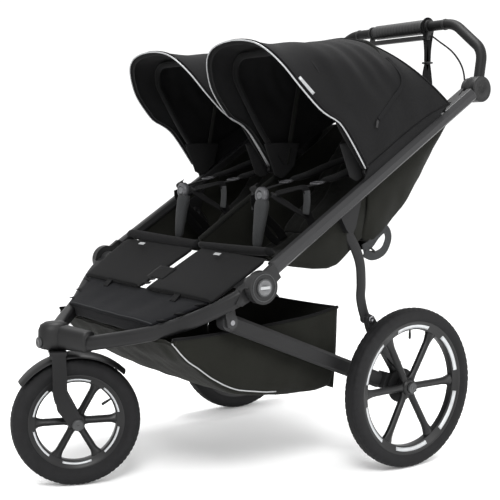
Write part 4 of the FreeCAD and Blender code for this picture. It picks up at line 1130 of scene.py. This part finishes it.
# ---------------------------------------------------------------- foot tray and basket
def front_tray():
    """Foot rest panel with a bound front lip and loops that hang it from the tubes."""
    rows = []
    for k in steps(34):
        deep = max(0.0, k - 0.82) / 0.18
        fore = min(1.0, k / 0.82)
        half = 292 - 84 * fore ** 1.1
        y, z = -546 - 113 * fore + 9 * deep, 457 - 52 * fore - 30 * deep
        row = []
        for t in np.linspace(-1, 1, 49):
            sag = -7 * (1 - t * t) * math.sin(math.pi * min(1, fore * 0.8 + 0.2))
            edge = -10 * fore * (1 - 0.6 * fore) * abs(t) ** 8
            row.append((half * t, y + 7 * t * t * fore, z + sag + edge))
        rows.append(row)
    rows = ruffled(rows, 2, 60.0, 1.6, 31)
    fit(sheet("tray_panel", rows[:, ::-1], 4.0, TRAY_CLOTH), "front_frame", "foot_tray")
    fit(sweep("tray_lip", rows[27] + (0, -1.5, 0), ring_profile(3.6, 10), TRAY_CLOTH), "front_frame")
    fit(sweep("tray_lip_line", rows[27] + (0, -2.0, 3.4), strap_profile(2.0, 0.8), STRAP_GREY,
              (0, -0.3, 1)), "front_frame")
    for side, x in (("left", 165), ("right", -165)):
        points = [(x, -542, 464), (x, -555, 462), (x, -566, 452), (x, -573, 445)]
        strap("tray_tab_" + side, points, 24, 2.6, WEBBING, (0, -0.6, 0.8), 12, body="front_frame")
    for side, sign in SIDES:
        for k, row in enumerate((4, 14, 22)):
            p = rows[row][-1] * (sign, 1, 1)
            points = [p + (-22 * sign, 2, 0), p + (-6 * sign, 0, 4), p + (4 * sign, -2, 4)]
            strap("tray_loop_%d_%s" % (k + 1, side), points, 24, 2.2, WEBBING, (0, 0, 1), 12,
                  body="front_frame")


BASKET_HALF = 283
BASKET_CORNER = 0.62  # share of the half width where the floor turns up into the side


def basket():
    """Sagging cloth tub under the seats: sides, floor and front in one sheet, and a rear wall."""
    keel = [(-646, 372), (-607, 325), (-572, 298), (-540, 272), (-499, 246), (-456, 229), (-380, 214),
            (-291, 208),
            (-220, 207), (-176, 212)]
    rim_line = [(-646, 379), (-600, 378), (-560, 379), (-520, 380), (-498, 381), (-440, 383), (-384, 386),
                (-300, 392), (-230, 400), (-164, 412)]
    keel = curve_through([(0, y, z) for y, z in keel], 60)
    rim_line = curve_through([(0, y, z) for y, z in rim_line], 60)
    half = BASKET_HALF
    rows = []
    for u, low, top in zip(steps(60), keel, rim_line):
        row = []
        height = top[2] - low[2]
        for v in np.linspace(-1, 1, 97):
            a = abs(v)
            if a > BASKET_CORNER:
                k = (a - BASKET_CORNER) / (1 - BASKET_CORNER)
                x = half - 4 * (1 - k) + 5 * math.sin(math.pi * k) * min(1, height / 90)
                y = low[1] + (top[1] - low[1]) * k
                z = low[2] + height * k
                if k < 0.12:
                    x -= (0.12 - k) / 0.12 * min(9, height * 0.1)
                    z += (0.12 - k) / 0.12 * -2
            else:
                k = a / BASKET_CORNER
                x = (half - 13) * k
                y = low[1]
                z = low[2] - 7 * (1 - k * k) * math.sin(math.pi * u) - 2
            row.append((math.copysign(x, v), y, z))
        rows.append(row)
    rows = np.array(rows)
    normals = grid_normals(rows)
    uneven = ruffle(rows.reshape(-1, 3), 70.0, 4.0, 21) + ruffle(rows.reshape(-1, 3), 28.0, 1.5, 22)
    rows = rows + normals * uneven.reshape(rows.shape[:2])[..., None]
    tub = sheet("basket_cloth", rows, 2.0, BASKET_CLOTH)
    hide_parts("basket")
    wall = []
    for k in steps(24):
        wall.append([(x, -172 + 10 * k + 5 * math.sin(x / 41.0) * math.sin(math.pi * k),
                      207 + (410 - 207) * k - 6 * (1 - (x / half) ** 2) * k)
                     for x in np.linspace(-281, 281, 49)])
    wall = sheet("basket_rear_wall", np.array(wall), 2.0, BASKET_CLOTH)
    pieces = [tub, wall]
    corner = int(round((1 - BASKET_CORNER) / 2 * 96))
    for side, column in (("right", corner - 1), ("left", 96 - corner + 1)):
        pieces.append(sweep("basket_piping_" + side,
                            rows[:40, column] + (1.5 if side == "left" else -1.5, 0, -1),
                            ring_profile(1.6, 8), PIPING))
    for side, column in (("right", 0), ("left", 96)):
        pieces.append(sweep("basket_rim_" + side, rows[:, column], ring_profile(3.6, 10), WEBBING,
                            (1, 0, 0)))
    line = [(x, -162, 410 - 6 * (1 - (x / half) ** 2)) for x in np.linspace(-half, half, 40)]
    pieces.append(sweep("basket_rear_rim", line, ring_profile(3.6, 10), WEBBING, (0, 1, 0)))
    pieces.append(sweep("basket_front_hem", rows[1], ring_profile(3.0, 10), BASKET_CLOTH))
    for piece in pieces:
        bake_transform(piece)


front_tray()
basket()


# ---------------------------------------------------------------- handlebar, cable and small fittings
WRIST_X = 110


def handle_covers():
    """Stitched grip cover over the bar's straight part and the thicker centre sleeve."""
    mid = middle_of("twist_grip")
    profile = [(-98, 16), (-98, 19), (-96, 20.6)]
    profile += [(x, 20.6 - 0.7 * (abs(x % 12 - 6) < 1.2)) for x in np.linspace(-94, 94, 95)]
    profile += [(96, 20.6), (98, 19), (98, 16)]
    fit(turned("grip_sleeve", profile, 40, lambda *p: mid + p, GRIP), "twist_grip", "twist_grip")
    for side, sign in SIDES:
        for label, at, radius, wide in (("inner", 105, 17.2, 6), ("outer", 176, 15.6, 4)):
            section = [(at - wide, 14.1), (at - wide, radius - 1), (at - wide + 1.5, radius),
                       (at + wide - 1.5, radius), (at + wide, radius - 1), (at + wide, 14.1)]
            fit(turned("grip_ring_%s_%s" % (label, side), section, 36,
                       lambda x, y, z: (x * sign, y + mid[1], z + mid[2]), PLASTIC), "handlebar")
        seam = [(sign * x, mid[1] + 13.2, mid[2] - 5.2) for x in np.linspace(122, 171, 12)]
        fit(sweep("grip_seam_" + side, seam, ring_profile(1.3, 8), WEBBING), "handlebar")
    line = curve_through([(122, mid[1] + 2, mid[2] - 26), (160, 304, 1104), (232, 286, 1066),
                          (284, 268, 1020),
                          (322, 236, 968), (332, 208, 946), (337, 196, 936)], 50)
    cable = sweep("brake_cable", line, ring_profile(2.4, 8), WEBBING)
    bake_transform(cable)
    around = [(16.5 * math.sin(a), mid[2] + 16.5 * math.cos(a)) for a in np.linspace(-2.2, 2.2, 14)]
    top = [(-3, 1050), (-5, 1090)] + around + [(5, 1090), (3, 1050)]
    low = [(-2, 1044), (-9, 1010), (-4, 974), (6, 968), (12, 984), (8, 1014), (2, 1044)]
    for name, loop, count in (("top", top, 70), ("loop", low, 50)):
        strap("wrist_strap_" + name, [(WRIST_X, mid[1] + y, z) for y, z in loop], 19, 2.0, WEBBING,
              (1, 0, 0),
              count, body="handlebar")
    ring = loop_round((WRIST_X, mid[1], 1047), (1, 0, 0), (0, 1, 0), 13, 9)
    fit(sweep("wrist_slide", ring, ring_profile(2.6, 8), PLASTIC), "handlebar")


def hub_trim(label, centre, radius, face_x, sign, body, material, wrap=0):
    """Raised ring and dished face on a round hub cover."""
    profile = [(-0.5, 0.3), (1.0, 0.3), (1.2, radius * 0.55), (2.4, radius * 0.62), (2.4, radius * 0.8),
               (1.6, radius * 0.9), (-0.5, radius * 0.92)]
    if wrap:
        profile = profile[:-1] + [(1.2, radius), (-1.5, radius + 1), (-wrap, radius + 1), (-wrap, radius)]
    profile = [(face_x + x, r) for x, r in profile]
    return fit(turned(label, profile, 56, lambda x, y, z: (x * sign, centre[1] + y * sign, centre[2] + z),
                      material), body)


SCREW = [(0, 0.3), (2.4, 0.3), (2.4, 2.6), (3.6, 3), (3.4, 7.4), (2.4, 8.4), (0, 8.6)]


def fittings():
    """Hub and fold cap trims, screw heads and the drum brake cables."""
    for side, sign in SIDES:
        hub_trim("handle_hub_trim_" + side, HANDLE, 33, 358.6, sign, "handlebar", DARK_COVER, 31)
        hub_trim("fold_cap_trim_" + side, FOLD, 19.5, 379.0, sign, "seat_frame", FOLD_CAP)
        block("fold_cap_bar_" + side, (sign * 380.9, FOLD[1], FOLD[2]), (2.4, 27, 7), PIPING, "seat_frame",
              rounding=0.8)
        line = [(sign * 377.2, FOLD[1] + 31 * math.cos(a), FOLD[2] + 31 * math.sin(a))
                for a in np.linspace(0, 2 * math.pi, 60)]
        fit(sweep("fold_ring_" + side, line, ring_profile(1.2, 8), CAP, (1, 0, 0)), "seat_frame")
        # screw heads along the strut and leg
        for label, y, z, x, body in (("strut_top", -184, 615, 332.4, "struts"),
                                     ("knuckle", -106, 383, 346.4, "rear_frame")):
            fit(turned("%s_screw_%s" % (label, side), SCREW, 28,
                       lambda px, py, pz: (sign * (x + px - 1.5), y + py * sign, z + pz), STEEL), body)
        line = curve_through([(sign * 352, -8, 238), (sign * 347, -34, 262), (sign * 322, -86, 330),
                              (sign * 316, -104, 380),
                              (sign * 312, -112, 440)], 40)
        fit(sweep("drum_cable_" + side, line, ring_profile(2.2, 8), WEBBING), "rear_frame")


def strut_tubes():
    """Smooth cranked tubes with a round eye at each end, in place of the flat struts."""
    bends = ((-187, 619), (-166, 594), (-141, 556), (-126, 518), (-122, 470), (-123, 438), (-116, 408),
             (-106, 383))
    eye = [(-6.8, 0.3), (-6.8, 12), (-5.5, 13.5), (5.5, 13.5), (6.8, 12), (6.8, 0.3)]
    for side, sign in SIDES:
        line = curve_through([(sign * 324, y, z) for y, z in bends], 60)
        fit(sweep("strut_tube_" + side, line, ring_profile(14.5, 20, 0.5), FRAME_COAT, (1, 0, 0)),
            "struts", "fold_struts" if side == "left" else None)
        for label, (y, z) in (("top", bends[0]), ("foot", bends[-1])):
            fit(turned("strut_eye_%s_%s" % (label, side), eye, 32,
                       lambda px, py, pz: (px + sign * 324, y + py, z + pz), FRAME_COAT), "struts")


def crown_cover():
    """Moulded cover over the crown: a rounded head with a sleeve along the end of each front tube."""
    axis_y = joint("caster_swivel")["pos_m"][1] * 1000
    dome = [(333, 0.3), (333, 24), (336, 29), (352, 31), (378, 30), (390, 26), (396, 17), (397.5, 0.3)]
    head = turned("crown_head", dome, 48, lambda x, y, z: (z, y * 1.25 + axis_y - 7, x), DARK_COVER)
    dial = [(43, 0.3), (43, 13), (47, 13), (48.5, 11.5), (48.5, 0.3)]
    fit(turned("swivel_dial", dial, 36, lambda x, y, z: (z, axis_y - x, y + 350), CAP), "swivel_lock",
        "swivel_lock_knob")
    parts = [head]
    for side, sign in SIDES:
        line = [(sign * 84 * k, axis_y + 40 * k, 361 - 6 * k) for k in np.linspace(0.06, 1.03, 14)]
        scale = np.interp(steps(14), [0, 0.5, 0.95, 1], [1.22, 1.06, 1.0, 0.95])
        section = [(math.copysign(abs(x) ** 0.6, x) * 21, math.copysign(abs(y) ** 0.6, y) * 25)
                   for x, y in ring_profile(1, 28)]
        parts.append(sweep("crown_sleeve_" + side, line, section, DARK_COVER, (0, 0, 1), scale=scale))
    for part in parts:
        fit(part, "front_frame")
    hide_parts("front_crown")


handle_covers()
fittings()
crown_cover()
strut_tubes()


# ---------------------------------------------------------------- finishes of the CAD pieces
FINISH = (
    (FRAME_COAT, "frame_coat", ("main_tube", "front_tube", "lower_tube", "rear_leg", "seat_crossbar",
                                "fold_struts", "rear_axle", "front_crown")),
    (FRAME_DARK, "frame_coat", ("strut_bracket", "brake_plate", "brake_arm", "caster_fork",
                                "canopy_bow", "handle_frame")),
    (CAP, "moulding", ("fold_cap", "swivel_lock", "rear_hub", "front_hub")),
    (PLASTIC, "moulding", ("fold_housing", "handle_hub", "lever_bracket", "brake_lever", "canopy_pivots",
                           "front_fender", "harness_buckle")),
    (BUCKLE, "moulding", ("buckle_button",)),
    (GRIP, "grip", ("twist_grip",)),
    (TYRE, "tyre", ("rear_tyre", "front_tyre")),
    (RIM, "rim", ("rear_rim", "front_rim")),
    (STEEL, "pin_steel", ("seat_frame_pins", "rear_frame_pins", "steering_stem", "front_axle")),
    (SEAT_CLOTH, "seat_cloth", ("seat_base", "seat_back", "seat_sides")),
    (HOOD_CLOTH, "canopy_cloth", ("canopy_left", "canopy_right")),
    (PAD_CLOTH, "pad_cloth", ("calf_pad",)),
    (TRAY_CLOTH, "seat_cloth", ("foot_tray",)),
    (BASKET_CLOTH, "seat_cloth", ("basket",)),
)

for name, node in frame["nodes"].items():
    for material, slot, starts in FINISH:
        if name.startswith(starts):
            node.data.materials.clear()
            node.data.materials.append(material)


# ---------------------------------------------------------------- stage
def plain(name, colour, rough):
    n = Nodes(name)
    n.set(Base_Color=tuple(colour) + (1.0,), Roughness=rough, Emission_Color=(1, 1, 1, 1),
          Emission_Strength=0.06)
    return n.material


def area_light(name, place, aim, size, watts):
    light = bpy.data.lights.new(name, "AREA")
    light.shape, light.size, light.energy = "DISK", size, watts
    obj = bpy.data.objects.new(name, light)
    obj.location = place
    obj.rotation_mode = "QUATERNION"
    obj.rotation_quaternion = (Vector(aim) - Vector(place)).to_track_quat("-Z", "Y")
    bpy.context.scene.collection.objects.link(obj)


CAMERA_LENS, SENSOR_WIDTH = 74.3, 36.0
CAMERA_PLACE = (2.211, -1.841, 0.8015)
CAMERA_TURN = 53.87, 5.58, 0.236  # azimuth, downward pitch and roll, in degrees


def stage():
    """White floor and world, three soft lights and the camera."""
    floor = make("floor", [(-6e4, -6e4, 0), (6e4, -6e4, 0), (6e4, 6e4, 0), (-6e4, 6e4, 0)],
                 [(0, 1, 2, 3)], plain("floor_paper", (0.96, 0.96, 0.96), 0.95), False)
    world = bpy.data.worlds.new("studio")
    world.use_nodes = True
    world.node_tree.nodes["Background"].inputs["Color"].default_value = (1, 1, 1, 1)
    world.node_tree.nodes["Background"].inputs["Strength"].default_value = 1.12
    bpy.context.scene.world = world
    bpy.context.scene.view_settings.view_transform = "Standard"
    area_light("key_light", (2.6, -2.2, 3.2), (0, -0.1, 0.5), 1.6, 120)
    area_light("fill_light", (3.0, 1.6, 1.8), (0, 0, 0.6), 2.0, 45)
    area_light("top_light", (-0.3, 0.1, 3.4), (0, 0, 0.6), 1.4, 95)
    camera = bpy.data.cameras.new("camera")
    camera.lens, camera.sensor_width = CAMERA_LENS, SENSOR_WIDTH
    camera.clip_start, camera.clip_end = 0.05, 300.0
    obj = bpy.data.objects.new("camera", camera)
    azimuth, pitch, roll = (math.radians(a) for a in CAMERA_TURN)
    look = Vector((-math.sin(azimuth) * math.cos(pitch), math.cos(azimuth) * math.cos(pitch),
                   -math.sin(pitch)))
    turn = look.to_track_quat("-Z", "Y").to_matrix().to_4x4() @ Matrix.Rotation(roll, 4, "Z")
    obj.matrix_world = Matrix.Translation(CAMERA_PLACE) @ turn
    bpy.context.scene.collection.objects.link(obj)
    bpy.context.scene.camera = obj


stage()
